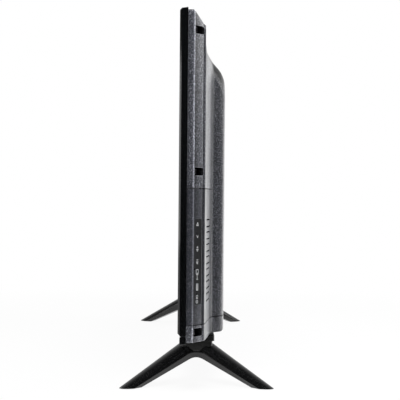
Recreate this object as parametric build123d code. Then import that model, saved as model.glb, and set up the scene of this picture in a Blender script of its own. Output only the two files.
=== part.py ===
from build123d import *
import math
import os

# Flat screen television on two V shaped feet. X runs along the width with the keys at +X,
# the screen faces -Y, Z is up and the feet stand on Z = 0. "Depth" is measured backwards
# from the front of the screen frame, "inset" inwards from the widest side of the frame.

# Clearances and overruns
fit_clearance = 0.15
seam_gap = 0.6
moving_clearance = 0.3
overrun = 2.0

# Cabinet
cabinet_width = 732.0
cabinet_height = 434.0
cabinet_bottom = 65.0
cabinet_corner_radius = 2.5
screen_front_y = -26.0
cabinet_top = cabinet_bottom + cabinet_height
half_width = cabinet_width / 2

# Screen frame and the trim bar under it
bezel_depth = 10.7
bezel_draft = 1.0
bezel_chamfer = 2.4
bezel_lip = 2.6
bezel_wall = 2.0
side_border = 16.0
top_border = 17.0
bottom_border = 12.7
bezel_foot_chamfer = 3.7
trim_height = 10.0
trim_gap = 0.3
trim_setback = 2.4
trim_chamfer_height = 2.2
trim_chamfer_depth = 1.3
trim_wall = 1.8
trim_edge_chamfer = 0.8
bezel_bottom = cabinet_bottom + trim_height + trim_gap
opening_low = bezel_bottom + bottom_border
opening_high = cabinet_top - top_border
opening_half_width = half_width - side_border

# Infrared receiver behind the trim bar
window_width = 24.0
window_height = 5.0
window_thickness = 1.2
window_bottom = cabinet_bottom + trim_wall
receiver_board_width = 26.0
receiver_board_height = 5.9
receiver_board_thickness = 1.2
receiver_board_depth = 6.2
receiver_radius = 2.0

# Rear cover
cover_wall = 2.4
cover_inset = 2.3
cover_bottom_rise = 2.1
cover_corner_radius = 4.0
band_end_depth = 17.4
ridge_end_depth = 19.4
ridge_inset = 1.0
rim_end_depth = 31.4
rim_side_inset = 17.0
rim_top_inset = 17.0
rim_corner_radius = 9.0
groove_width = 0.8
groove_cut = 0.6
step_rise = 2.8
step_run = 2.0
step_end_depth = rim_end_depth + step_rise
cover_front = bezel_depth + fit_clearance
swell_core_depth = 38.6
cover_bottom = cabinet_bottom + cover_bottom_rise

# Swelling of the rear cover over the boards: it rises from the rim's step to the flat back.
# Each row of shares is a section: how far back it is, how far in from the side, and down from the top.
back_depth = 64.6
swell_sink = 1.6
swell_side_start = 0.4
swell_side_run = 99.6
swell_top_start = 39.5
swell_top_run = 44.5
swell_base_radius = 12.0
swell_radius_growth = 18.0
back_edge_radius = 5.0
swell_shares = [
    (0.0, 0.0, 0.0),
    (0.056, 0.01, 0.045),
    (0.081, 0.036, 0.146),
    (0.106, 0.076, 0.247),
    (0.156, 0.167, 0.303),
    (0.263, 0.408, 0.321),
    (0.344, 0.578, 0.33),
    (0.4, 0.674, 0.346),
    (0.463, 0.719, 0.38),
    (0.591, 0.754, 0.456),
    (0.716, 0.784, 0.539),
    (0.825, 0.817, 0.631),
    (0.906, 0.851, 0.73),
    (0.963, 0.895, 0.82),
    (0.991, 0.94, 0.899),
    (1.0, 1.0, 1.0),
]

# Lower strip of the cover, and the insert that carries the keys
lower_cover_height = 21.8
lower_cover_top = cover_bottom + lower_cover_height
control_rise = 200.7
control_top = cabinet_bottom + control_rise
control_inner_inset = 85.0
control_corner_radius = 5.0

# Screw pockets in the sloped rim
pocket_width = 10.7
pocket_floor_depth = 20.3
pocket_reach = 17.4
pocket_round_share = 0.28
pocket_wall = 2.0
pocket_screw_inset = 9.0
low_pocket_rise = 14.6
middle_pocket_rise = 222.7
high_pocket_drop = 28.0
side_pocket_heights = [
    cabinet_bottom + low_pocket_rise,
    cabinet_bottom + middle_pocket_rise,
    cabinet_top - high_pocket_drop,
]
top_pocket_places = [-220.0, 0.0, 220.0]

# Self-tapping screws of the cover
cover_screw_head_radius = 3.2
cover_screw_head_height = 2.2
cover_screw_radius = 1.5
cover_screw_length = 9.0
cover_screw_cross_width = 1.0
cover_screw_cross_length = 3.6
cover_screw_cross_depth = 1.2
screw_boss_radius = 2.8
screw_boss_setback = 1.5
hole_clearance = 0.2

# Marked strip beside the keys
label_margin = 6.7
label_front_depth = 20.6
label_back_depth = 30.4
label_thickness = 0.4
label_sink = 0.3
label_corner_radius = 3.0

# Keys: tongues of the insert that bend at their outer end
key_names = [
    "key_power",
    "key_menu",
    "key_source",
    "key_volume_down",
    "key_volume_up",
    "key_channel_down",
    "key_channel_up",
]
key_rise = 56.8
key_lowest = cabinet_bottom + key_rise
key_pitch = 16.37
key_width = 7.4
key_slot = 1.8
key_root_inset = 35.0
key_tip_inset = 68.5
key_tip_radius = 2.6
key_post_inset = 64.0
key_post_radius = 1.2
key_travel_gap = 1.15

# Key board and its switches
key_board_depth = 29.4
key_board_thickness = 1.6
key_board_width = 18.0
key_board_margin = 9.0
switch_size = 6.0
switch_height = 3.4
plunger_radius = 1.7
plunger_height = 0.8
key_boss_radius = 2.2

# Screen stack, from the glass backwards
glass_depth = 3.0
glass_thickness = 1.5
glass_overlap = 7.4
sheet_depth = 5.3
sheet_thickness = 0.25
sheet_gap = 0.05
sheet_count = 3
sheet_overlap = 5.4
diffuser_depth = 6.3
diffuser_thickness = 1.5
frame_front_depth = 4.6
frame_back_depth = 8.0
frame_ledge_thickness = 0.6
frame_side_inset = 3.0
frame_bottom_drop = 9.8
frame_ledge_overlap = 1.4

# Backlight tray
tray_thickness = 1.0
tray_front_depth = 8.1
tray_back_depth = 27.0
tray_flange_inset = 4.0
tray_mouth_inset = 20.0
tray_floor_inset = 34.0
tray_flange_drop = 9.0
tray_mouth_drop = -4.0
tray_floor_rise = 12.0
tray_corner_radius = 4.0
reflector_thickness = 0.5
strip_count = 3
strip_width = 14.0
strip_thickness = 1.0
strip_end_inset = 46.0
lens_count = 7
lens_radius = 7.5
lens_height = 4.5
lens_leg_radius = 2.5
lens_leg_height = 2.0
lens_hole_radius = 4.0

# Driver board of the screen, on the tray's back, and the films that reach it
driver_half_length = 150.0
driver_board_height = 18.0
driver_board_rise = 39.0
driver_board_low = cabinet_bottom + driver_board_rise
driver_board_thickness = 1.2
driver_board_stand = 1.2
film_count = 5
film_width = 30.0
film_thickness = 0.3
film_front_depth = 4.2
film_rise = 1.9
film_low = bezel_bottom + film_rise

# Wall mount. The boards and the bays are placed from its middle.
mount_pitch = 200.0
mount_height_share = 0.454
mount_centre_height = cabinet_bottom + cabinet_height * mount_height_share
mount_boss_radius = 7.0
mount_thread_radius = 3.0
mount_thread_depth = 14.0
mount_flange_radius = 11.0
mount_flange_thickness = 1.5

# Boards in the swelling
board_thickness = 1.6
board_depth = 31.0
board_drop = 72.0
board_lift = 68.0
board_low = mount_centre_height - board_drop
board_high = mount_centre_height + board_lift
board_inner_edge = 10.0
board_outer_edge = 138.0
board_corner_radius = 2.0
board_post_radius = 3.0
board_hole_inset = 6.0
board_screw_radius = 1.4
board_screw_head_radius = 2.8
board_screw_head_height = 1.8

# Bays of the cover for the plugs
bay_floor_depth = 30.4
bay_corner_radius = 3.0
socket_bay_length = 78.0
socket_bay_margin = 6.0
socket_bay_low = board_low - socket_bay_margin
socket_bay_high = board_high + socket_bay_margin
power_bay_length = 62.0
power_bay_height = 50.0
power_bay_low = mount_centre_height
power_bay_high = power_bay_low + power_bay_height
socket_plate_thickness = 1.2
socket_plate_margin = 5.0
socket_plate_depth = 21.0
socket_mouth_overhang = 1.0

# Sockets
wide_socket_width = 15.0
wide_socket_height = 5.8
wide_socket_length = 12.0
wide_socket_count = 2
wide_socket_gap = 14.2
usb_width = 13.2
usb_height = 6.2
usb_length = 14.0
usb_count = 2
usb_gap = 12.8
socket_shell = 0.6
socket_tongue = 1.4
socket_tongue_share = 0.66
jack_body_width = 8.0
jack_body_height = 7.0
jack_length = 14.0
jack_bore_radius = 1.8
jack_nose_radius = 3.0
jack_count = 2
jack_gap = 5.0
aerial_radius = 4.8
aerial_bore_radius = 4.0
aerial_pin_radius = 1.0
aerial_length = 26.0
aerial_rise = 25.0
aerial_height = socket_bay_low + aerial_rise
inlet_width = 20.0
inlet_height = 13.0
inlet_length = 18.0
inlet_wall = 1.6
inlet_pin_radius = 1.2
inlet_pin_spacing = 8.6
inlet_z = (power_bay_low + power_bay_high) / 2

# Parts on the boards
chip_size = 24.0
chip_height = 1.6
heat_sink_size = 40.0
heat_sink_height = 14.0
heat_sink_fin = 1.6
heat_sink_fins = 8
heat_sink_base = 3.0
small_chip_width = 14.0
small_chip_height = 9.0
small_chip_count = 3
small_chip_pitch = 12.6
small_chip_rise = 16.8
connector_length = 20.0
connector_height = 6.0
connector_width = 5.0
capacitor_radius = 9.0
capacitor_length = 22.0
capacitor_count = 2
capacitor_pitch = 21.6
capacitor_rise = 21.6
small_capacitor_radius = 5.0
small_capacitor_length = 16.0
small_capacitor_count = 4
small_capacitor_pitch = 12.0
small_capacitor_drop = 15.0
transformer_width = 32.0
transformer_height = 26.0
transformer_depth = 22.0
winding_width = 20.0
winding_height = 33.8

# Speakers
speaker_side_inset = 190.0
speaker_centre_x = half_width - speaker_side_inset
speaker_half_length = 42.0
speaker_depth_size = 26.0
speaker_frame_height = 26.0
speaker_wall = 1.6
speaker_centre_depth = 44.0
speaker_hole_length = 60.0
speaker_hole_width = 19.0
cone_thickness = 0.8
cone_rise = 7.0
cone_throw = 0.5
magnet_radius = 9.0
magnet_height = 9.0
voice_coil_radius = 6.0
cone_top_length = 14.4
cone_top_radius = 5.4
speaker_grille_count = 13
speaker_grille_width = 2.2
speaker_grille_pitch = 4.6

# Air slots in the back
vent_count = 46
vent_pitch = 7.0
vent_width = 3.0
vent_height = 14.0
low_vent_rise = 53.0
high_vent_drop = 107.0
vent_row_heights = [cabinet_bottom + low_vent_rise, cabinet_top - high_vent_drop]

# Foot brackets in the cabinet
bracket_thickness = 3.0
bracket_half_width = 17.0
bracket_height = 44.0
bracket_front_depth = 12.0
bracket_back_depth = 38.8

# Feet
foot_side_inset = 91.0
foot_centre_x = half_width - foot_side_inset
leg_splay = 30.0
arch_half = 17.3
arch_height = 34.7
arch_top = 54.0
arch_steps = 5
root_under = 31.3
root_ridge = 55.8
under_slope = 0.44
ridge_slope = 0.562
leg_length = 103.0
root_half_width = 15.0
toe_half_width = 10.4
leg_tuck = 3.6
leg_edge_share = 0.38
neck_half_depth = 22.0
neck_half_width = 15.0
neck_corner_radius = 4.0
neck_low = 44.0
flange_thickness = 6.6
flange_half_width = 20.0
flange_back_reach = 24.5
flange_corner_radius = 4.0
flange_gap = 0.1
foot_screw_places = [-9.0, 9.0]
foot_screw_radius = 2.0
foot_screw_head_radius = 3.8
foot_screw_head_height = 2.6
foot_screw_seat = 54.0
pad_thickness = 1.6
pad_recess = 0.8
pad_length = 15.0
pad_width = 9.0
pad_run = 85.0

# Leads between the boards
lead_radius = 1.1
lead_bend_radius = 8.0
lead_depth = 29.0
key_lead_inset = 18.0

cavity_bottom = cover_bottom + cover_wall
speaker_low = cavity_bottom + fit_clearance
key_heights = [key_lowest + key_pitch * step for step in range(len(key_names))]
label_low = key_heights[0] - label_margin
label_high = key_heights[-1] + label_margin
flange_top = cabinet_bottom - flange_gap
splay = math.radians(leg_splay)


def stacked(low, gap, height, count):
    """The middles of equal sockets that stand above each other from a height, each after a gap."""
    return [low + (gap + height) * (number + 1) - height / 2 for number in range(count)]


jack_heights = stacked(aerial_height + aerial_radius / 2, jack_gap, jack_body_height, jack_count)
usb_heights = stacked(jack_heights[-1] + jack_body_height / 2, usb_gap, usb_height, usb_count)
wide_socket_heights = stacked(usb_heights[-1] + usb_height / 2, wide_socket_gap,
                              wide_socket_height, wide_socket_count)


def y_at(depth):
    """The Y of a depth behind the front of the screen frame."""
    return screen_front_y + depth


def outline(left, right, low, high, radius=0):
    """A rectangle in X and Z, with rounded corners where a radius is given."""
    width = right - left
    height = high - low
    shape = RectangleRounded(width, height, radius) if radius else Rectangle(width, height)
    return Pos((left + right) / 2, (low + high) / 2) * shape


def at_depth(depth, sketch):
    """A sketch of X and Z, placed at a depth and facing forwards."""
    plane = Plane(origin=(0, y_at(depth), 0), x_dir=(1, 0, 0), z_dir=(0, -1, 0))
    return plane * sketch


def slab(sketch, front, back):
    """A sketch of X and Z, extruded from one depth to another."""
    return extrude(at_depth(back, sketch), amount=back - front, dir=(0, -1, 0))


def block(left, right, front, back, low, high):
    """A box between two X places, two depths and two heights."""
    return slab(outline(left, right, low, high), front, back)


def ruled_body(sections):
    """A body with straight walls through outlines given as (depth, outline)."""
    return loft([at_depth(depth, sketch) for depth, sketch in sections], ruled=True)


def bar_along_x(points, left, right):
    """An outline of (depth, height) points, extruded along X."""
    sketch = Polygon(*[(y_at(depth), height) for depth, height in points], align=None)
    plane = Plane(origin=(left, 0, 0), x_dir=(0, 1, 0), z_dir=(1, 0, 0))
    return extrude(plane * sketch, amount=right - left, dir=(1, 0, 0))


def rod_back(x, z, radius, front, back):
    """A round rod along Y between two depths."""
    return slab(Pos(x, z) * Circle(radius), front, back)


def rod_along_x(depth, z, radius, left, right):
    """A round rod along X."""
    plane = Plane(origin=(left, y_at(depth), z), x_dir=(0, 1, 0), z_dir=(1, 0, 0))
    return extrude(plane * Circle(radius), amount=right - left)


def rod_up(x, y, radius, low, high):
    """A round rod along Z."""
    return extrude(Pos(x, y, low) * Circle(radius), amount=high - low)


def mirrored(shape):
    """The same shape on the other side of the middle."""
    return mirror(shape, about=Plane.YZ)


def symmetric_outline(inset, top, bottom, radius):
    """A cabinet outline with equal side insets."""
    return outline(inset - half_width, half_width - inset, bottom, top, radius)


# Screen frame

def front_body():
    """The outer form that the screen frame and the trim bar share."""
    reach = cabinet_bottom - cabinet_corner_radius * 2
    face_inset = bezel_draft + bezel_chamfer
    sections = [
        (0, symmetric_outline(face_inset, cabinet_top - face_inset, reach, cabinet_corner_radius)),
        (bezel_chamfer, symmetric_outline(bezel_draft, cabinet_top - bezel_draft, reach,
                                          cabinet_corner_radius)),
        (bezel_depth, symmetric_outline(0, cabinet_top, reach, cabinet_corner_radius)),
    ]
    floor = block(-cabinet_width, cabinet_width, -overrun, bezel_depth + overrun,
                  reach - overrun, cabinet_bottom)
    return ruled_body(sections) - floor


def front_bezel():
    """The frame round the screen: a front lip with side walls behind it."""
    profile = [
        (-overrun, bezel_bottom + bezel_foot_chamfer + overrun),
        (bezel_foot_chamfer, bezel_bottom),
        (bezel_depth, bezel_bottom),
        (bezel_depth, cabinet_top + overrun),
        (-overrun, cabinet_top + overrun),
    ]
    frame = front_body() & bar_along_x(profile, -half_width, half_width)
    opening = outline(-opening_half_width, opening_half_width, opening_low, opening_high)
    cavity = symmetric_outline(bezel_wall, cabinet_top - bezel_wall, bezel_bottom - overrun, 0)
    frame -= slab(opening, -overrun, bezel_depth)
    return frame - slab(cavity, bezel_lip, bezel_depth + overrun)


def bottom_trim():
    """The bar under the screen, with a hollow for the receiver."""
    profile = [
        (trim_setback, cabinet_bottom),
        (trim_setback, cabinet_bottom + trim_height - trim_chamfer_height),
        (trim_setback + trim_chamfer_depth, cabinet_bottom + trim_height),
        (bezel_depth, cabinet_bottom + trim_height),
        (bezel_depth, cabinet_bottom),
    ]
    bar = front_body() & bar_along_x(profile, -half_width, half_width)
    hollow = block(bezel_wall - half_width, half_width - bezel_wall, trim_setback + trim_wall,
                   bezel_depth + overrun, cabinet_bottom + trim_wall,
                   cabinet_bottom + trim_height - trim_wall)
    window = block(-window_width / 2, window_width / 2, -overrun, trim_setback + trim_wall * 2,
                   window_bottom, window_bottom + window_height)
    edge = trim_edge_chamfer
    corner = Polygon((half_width - edge, cabinet_bottom), (half_width + edge, cabinet_bottom),
                     (half_width + edge, cabinet_bottom + edge * 2), align=None)
    corner_cut = slab(corner, -overrun, bezel_depth + overrun)
    return bar - hollow - window - corner_cut - mirrored(corner_cut)


def infrared_window():
    """The smoked window of the receiver, flush with the trim bar."""
    gap = fit_clearance
    return block(gap - window_width / 2, window_width / 2 - gap, trim_setback,
                 trim_setback + window_thickness, window_bottom + gap,
                 window_bottom + window_height - gap)


def infrared_board():
    """The receiver's board with its domed sensor, behind the window."""
    low = cabinet_bottom + trim_wall + fit_clearance
    board = block(-receiver_board_width / 2, receiver_board_width / 2, receiver_board_depth,
                  receiver_board_depth + receiver_board_thickness, low,
                  low + receiver_board_height)
    sensor = rod_back(0, window_bottom + window_height / 2, receiver_radius,
                      trim_setback + window_thickness + fit_clearance, receiver_board_depth)
    return board + sensor


# Screen stack

def lcd_panel():
    """The glass of the screen."""
    reach = glass_overlap
    glass = outline(-opening_half_width - reach, opening_half_width + reach,
                    opening_low - reach, opening_high + reach)
    return slab(glass, glass_depth, glass_depth + glass_thickness)


def backing_outline():
    """The outline that the sheets and the diffuser share."""
    reach = sheet_overlap
    return outline(-opening_half_width - reach, opening_half_width + reach,
                   opening_low - reach, opening_high + reach)


def optical_sheets():
    """Thin sheets that even out the light."""
    sheets = []
    for number in range(sheet_count):
        front = sheet_depth + number * (sheet_thickness + sheet_gap)
        sheets.append(slab(backing_outline(), front, front + sheet_thickness))
    return sheets


def diffuser_plate():
    """The milky plate in front of the lamps."""
    return slab(backing_outline(), diffuser_depth, diffuser_depth + diffuser_thickness)


def pocket_places():
    """The X and Z of every cover screw in a pocket of the rim."""
    side_x = half_width - pocket_screw_inset
    top_z = cabinet_top - pocket_screw_inset
    sides = [(sign * side_x, z) for z in side_pocket_heights for sign in (1, -1)]
    return sides + [(x, top_z) for x in top_pocket_places]


def panel_frame():
    """The frame that holds the glass and the sheets apart, with the bosses for the screws."""
    low = opening_low - frame_bottom_drop
    outer = outline(frame_side_inset - half_width, half_width - frame_side_inset,
                    low, cabinet_top - frame_side_inset)
    reach = sheet_overlap + fit_clearance
    pit = outline(-opening_half_width - reach, opening_half_width + reach,
                  opening_low - reach, opening_high + reach)
    ledge = frame_ledge_overlap
    window = outline(-opening_half_width - ledge, opening_half_width + ledge,
                     opening_low - ledge, opening_high + ledge)
    frame = slab(outer, frame_front_depth, frame_back_depth)
    frame -= slab(pit, frame_front_depth + frame_ledge_thickness, frame_back_depth + overrun)
    frame -= slab(window, frame_front_depth - overrun, frame_back_depth + overrun)
    boss_end = pocket_floor_depth - pocket_wall - screw_boss_setback
    for x, z in pocket_places():
        boss = rod_back(x, z, screw_boss_radius, frame_front_depth, boss_end)
        sheet_side = slab(pit, frame_front_depth + frame_ledge_thickness, tray_front_depth)
        frame += boss - sheet_side
    for x, z in pocket_places():
        frame -= rod_back(x, z, cover_screw_radius + hole_clearance,
                          frame_back_depth, boss_end + overrun)
    return frame


# Backlight

def tray_body(shrink, back):
    """The tray's hollow form down to a depth, made smaller on every side by shrink."""
    low = opening_low - tray_mouth_drop + shrink
    high = opening_high + tray_mouth_drop - shrink
    rise = tray_floor_rise + tray_mouth_drop
    mouth = symmetric_outline(tray_mouth_inset + shrink, high, low, tray_corner_radius)
    floor = symmetric_outline(tray_floor_inset + shrink, high - rise, low + rise,
                              tray_corner_radius)
    return ruled_body([(tray_front_depth, mouth), (back, floor)])


def backlight_tray():
    """The pressed metal tray that holds the lamps and carries the boards."""
    flange_outline = symmetric_outline(tray_flange_inset, cabinet_top - tray_flange_inset,
                                       opening_low - tray_flange_drop, tray_corner_radius)
    flange = slab(flange_outline, tray_front_depth, tray_front_depth + tray_thickness)
    tray = flange + tray_body(0, tray_back_depth)
    tray -= tray_body(tray_thickness, tray_back_depth - tray_thickness)
    for x, z in pocket_places():
        tray -= rod_back(x, z, screw_boss_radius + hole_clearance,
                         tray_front_depth - overrun, tray_front_depth + overrun)
    return tray


def lens_places():
    """The X and Z of every lamp."""
    span = half_width - tray_floor_inset - strip_end_inset
    low = opening_low + tray_floor_rise
    height = opening_high - tray_floor_rise - low
    places = []
    for row in range(strip_count):
        z = low + height * (row + 0.5) / strip_count
        for column in range(lens_count):
            places.append((span * (2 * column / (lens_count - 1) - 1), z))
    return places


def reflector_sheet():
    """The white sheet that lines the tray, with a hole for each lamp."""
    gap = tray_thickness + fit_clearance
    inner_back = tray_back_depth - tray_thickness
    back = inner_back - strip_thickness - fit_clearance
    front = tray_front_depth + tray_thickness
    lining = tray_body(gap, inner_back)
    lining -= slab(symmetric_outline(0, cabinet_top, 0, 0), back, tray_back_depth)
    inside = tray_body(gap + reflector_thickness, inner_back)
    inside -= slab(symmetric_outline(0, cabinet_top, 0, 0), back - reflector_thickness,
                   tray_back_depth)
    lining -= inside
    lining -= slab(symmetric_outline(0, cabinet_top, 0, 0), 0, front)
    holes = Sketch() + [Pos(x, z) * Circle(lens_hole_radius) for x, z in lens_places()]
    return lining - slab(holes, back - overrun, back + overrun)


def led_strips():
    """Metal core strips that carry the lamps."""
    strips = []
    reach = half_width - tray_floor_inset - strip_end_inset / 2
    back = tray_back_depth - tray_thickness
    for z in sorted({z for x, z in lens_places()}):
        strips.append(block(-reach, reach, back - strip_thickness, back,
                            z - strip_width / 2, z + strip_width / 2))
    return strips


def led_lenses():
    """A domed lens on a short leg over each lamp."""
    seat = tray_back_depth - tray_thickness - strip_thickness
    base = seat - lens_leg_height
    lenses = []
    for x, z in lens_places():
        leg = rod_back(x, z, lens_leg_radius, base, seat)
        dome_plane = Plane(origin=(x, y_at(base), z), x_dir=(1, 0, 0), z_dir=(0, -1, 0))
        ring = dome_plane * Circle(lens_radius)
        tip = dome_plane.offset(lens_height) * Circle(lens_leg_radius)
        lenses.append(leg + loft([ring, tip]))
    return lenses


def driver_board():
    """The screen's driver board on the back of the tray, on its stand-offs."""
    front = tray_back_depth + driver_board_stand
    board = block(-driver_half_length, driver_half_length, front, front + driver_board_thickness,
                  driver_board_low, driver_board_low + driver_board_height)
    middle = driver_board_low + driver_board_height / 2
    for x in (-driver_half_length / 2, 0, driver_half_length / 2):
        board += rod_back(x, middle, board_post_radius, tray_back_depth, front)
    return board


def panel_films():
    """Flexible films from the glass, round the tray's lower edge to the driver board."""
    films = []
    glass_low = opening_low - glass_overlap
    back = tray_back_depth + driver_board_stand + driver_board_thickness + film_thickness
    step = 2 * driver_half_length / film_count
    for number in range(film_count):
        left = -driver_half_length + step * (number + 0.5) - film_width / 2
        front_leg = block(left, left + film_width, film_front_depth,
                          film_front_depth + film_thickness, film_low, glass_low)
        lower_leg = block(left, left + film_width, film_front_depth, back,
                          film_low, film_low + film_thickness)
        rear_leg = block(left, left + film_width, back - film_thickness, back,
                         film_low, driver_board_low + driver_board_height / 4)
        films.append(front_leg + lower_leg + rear_leg)
    return films


# Rear cover

def rim_body(shrink, front):
    """The band, the ridge, the sloped rim and its step, with the same wall taken off all round."""
    slope = math.atan2(rim_end_depth - ridge_end_depth, rim_side_inset - cover_inset - ridge_inset)
    inward = shrink * math.sin(slope)
    forward = shrink * math.cos(slope)
    low = cover_bottom - cover_corner_radius * 4
    band = cover_inset + shrink
    bend = cover_inset + ridge_inset + inward
    sections = [
        (front, symmetric_outline(band, cabinet_top - band, low, cover_corner_radius)),
        (band_end_depth - forward, symmetric_outline(band, cabinet_top - band, low,
                                                     cover_corner_radius)),
    ]
    if not shrink:
        sections.append((ridge_end_depth, symmetric_outline(bend, cabinet_top - bend, low,
                                                            cover_corner_radius)))
    sections.append((rim_end_depth - forward,
                     symmetric_outline(rim_side_inset + inward, cabinet_top - rim_top_inset - inward,
                                       low, rim_corner_radius)))
    sections.append((step_end_depth - shrink,
                     symmetric_outline(rim_side_inset + step_run + shrink,
                                       cabinet_top - rim_top_inset - step_run - shrink,
                                       low, rim_corner_radius)))
    return ruled_body(sections)


def swell_body(shrink):
    """The smooth swelling from the rim's step to the flat back, made smaller by shrink."""
    low = cover_bottom - swell_base_radius - swell_radius_growth - overrun
    start = step_end_depth - swell_sink
    side_start = rim_side_inset + step_run + swell_side_start
    sections = []
    for depth_share, side_share, top_share in swell_shares:
        depth = start + (back_depth - start) * depth_share - shrink
        inset = side_start + swell_side_run * side_share + shrink
        top = cabinet_top - swell_top_start - swell_top_run * top_share - shrink
        radius = swell_base_radius + swell_radius_growth * depth_share
        sections.append(at_depth(depth, symmetric_outline(inset, top, low, radius)))
    return loft(sections)


def cover_form(shrink, front, bottom):
    """The whole rear cover as a body, cut flat at its bottom."""
    form = rim_body(shrink, front) + swell_body(shrink)
    below = block(-cabinet_width, cabinet_width, -overrun, back_depth + overrun,
                  -cabinet_height, bottom)
    return form - below


def back_edge_cut():
    """What rounding takes off the lower back edge."""
    radius = back_edge_radius
    corner = block(-half_width, half_width, back_depth - radius, back_depth + overrun,
                   cover_bottom - overrun, cover_bottom + radius)
    return corner - rod_along_x(back_depth - radius, cover_bottom + radius, radius,
                                -half_width, half_width)


def pocket_outline(x, z, grow, past):
    """A pocket outline with two round corners, open towards the nearest side or the top."""
    half = pocket_width / 2 + grow
    if abs(x) > half_width - rim_side_inset:
        sign = math.copysign(1, x)
        inner = half_width - pocket_reach - grow
        return pocket_strip(sign * inner, sign * (half_width + past), z - half, z + half)
    return pocket_strip_up(x - half, x + half, cabinet_top - pocket_reach - grow,
                           cabinet_top + past)


def pocket_strip(inner, outer, low, high):
    """A strip along X whose corners are rounded at its inner end."""
    radius = (high - low) * pocket_round_share
    turn = inner + math.copysign(radius, outer)
    strip = outline(min(turn, outer), max(turn, outer), low, high)
    return strip + outline(min(inner, outer), max(inner, outer), low, high, radius)


def pocket_strip_up(left, right, inner, outer):
    """A strip along Z whose corners are rounded at its lower end."""
    radius = (right - left) * pocket_round_share
    strip = outline(left, right, inner + radius, outer)
    return strip + outline(left, right, inner, outer, radius)


def cover_hollow():
    """The space inside the cover's wall."""
    return cover_form(cover_wall, cover_front - overrun, cavity_bottom)


def cover_shell(hollow):
    """The rear cover in one piece, before it is parted at its seams."""
    outer = cover_form(0, cover_front, cover_bottom) - back_edge_cut()
    shell = outer - hollow
    for x, z in pocket_places():
        walls = slab(pocket_outline(x, z, pocket_wall, 0), pocket_floor_depth - pocket_wall,
                     back_depth)
        shell += walls & outer
    for x, z in pocket_places():
        shell -= slab(pocket_outline(x, z, 0, overrun), pocket_floor_depth, back_depth + overrun)
        shell -= rod_back(x, z, cover_screw_radius + hole_clearance,
                          pocket_floor_depth - pocket_wall - overrun, pocket_floor_depth + overrun)
    return shell - rim_groove()


def rim_groove():
    """The fine groove where the sloped rim meets the swelling."""
    low = cover_bottom - rim_corner_radius * 2
    half = groove_width / 2
    inset = rim_side_inset
    top = cabinet_top - rim_top_inset
    wide = symmetric_outline(inset - half, top + half, low, rim_corner_radius)
    narrow = symmetric_outline(inset + half, top - half, low, rim_corner_radius)
    return slab(wide - narrow, rim_end_depth - groove_cut, rim_end_depth + overrun)


def seam_region_lower(grow):
    """The part of the cover under the lower seam."""
    return block(-cabinet_width, cabinet_width, -overrun, back_depth + overrun * 2,
                 -overrun, lower_cover_top - seam_gap / 2 + grow)


def seam_region_control(grow):
    """The part of the cover that the key insert takes up."""
    gap = seam_gap / 2
    left = half_width - control_inner_inset + gap - grow
    low = lower_cover_top + gap - grow
    region = outline(left, half_width + control_inner_inset, low, control_top - gap + grow,
                     control_corner_radius)
    square = outline(left, half_width + control_inner_inset, low,
                     low + control_corner_radius * 2)
    return slab(region + square, -overrun, back_depth + overrun * 2)


def key_outline(z, grow):
    """A key's tongue seen from the back, grown at its sides and tip."""
    half = key_width / 2 + grow
    root = half_width - key_root_inset + (moving_clearance if grow else 0)
    tip = half_width - key_tip_inset - grow
    radius = key_tip_radius + grow
    rounded = outline(tip, root - radius, z - half, z + half, radius)
    return rounded + outline(tip + radius * 2, root, z - half, z + half)


def key_zone(z, grow):
    """The space of a key's tongue through the cover's wall."""
    return slab(key_outline(z, grow), pocket_floor_depth, back_depth)


def switch_top_depth():
    """The depth of the switches' plungers."""
    return key_board_depth + key_board_thickness + switch_height + plunger_height


def key_tongue(shell, hollow, z):
    """One key: a tongue of the cover's wall with a post behind its tip."""
    tongue = shell & key_zone(z, 0)
    x = half_width - key_post_inset
    post = rod_back(x, z, key_post_radius, switch_top_depth() + key_travel_gap, back_depth)
    return tongue + (post & hollow)


def label_plane():
    """A plane on the sloped rim at +X, with its X up the slope."""
    run = rim_side_inset - cover_inset - ridge_inset
    rise = rim_end_depth - ridge_end_depth
    length = math.hypot(run, rise)
    origin_x = half_width - cover_inset - ridge_inset
    return Plane(origin=(origin_x, y_at(ridge_end_depth), 0), x_dir=(-run / length, rise / length, 0),
                 z_dir=(rise / length, run / length, 0))


def label_slab(grow, low_offset, high_offset):
    """A plate on the sloped rim, between two heights over its surface."""
    run = rim_side_inset - cover_inset - ridge_inset
    rise = rim_end_depth - ridge_end_depth
    scale_along = math.hypot(run, rise) / rise
    start = (label_front_depth - ridge_end_depth) * scale_along - grow
    end = (label_back_depth - ridge_end_depth) * scale_along + grow
    low = label_low - grow
    high = label_high + grow
    shape = outline(start, end, low, high, label_corner_radius + grow)
    plane = label_plane().offset(low_offset)
    return extrude(plane * shape, amount=high_offset - low_offset)


def control_panel(shell, hollow):
    """The insert in the side of the cover, with slots that free the keys."""
    panel = shell & seam_region_control(0)
    for z in key_heights:
        panel -= key_zone(z, key_slot)
    panel -= label_slab(0, -label_thickness - label_sink, overrun)
    x = half_width - key_post_inset
    for number in (0, len(key_heights) // 2, len(key_heights) - 2):
        z = key_heights[number] + key_pitch / 2
        boss = rod_back(x, z, key_boss_radius, key_board_depth + key_board_thickness, back_depth)
        panel += boss & hollow
    return panel


def key_label_strip():
    """The smooth strip beside the keys, sunk in the sloped rim."""
    return label_slab(-fit_clearance, -label_thickness - label_sink, -label_sink)


def bay_outline(left, right, low, high):
    """A plug bay's mouth."""
    return outline(left, right, low, high, bay_corner_radius)


def bay_edge():
    """How far from the middle a bay's inner wall shows its outer face."""
    return board_outer_edge + fit_clearance + cover_wall


def socket_bay_sides():
    """The left and right of the socket bay."""
    return bay_edge(), bay_edge() + socket_bay_length


def power_bay_sides():
    """The left and right of the power bay."""
    return -bay_edge() - power_bay_length, -bay_edge()


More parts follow.
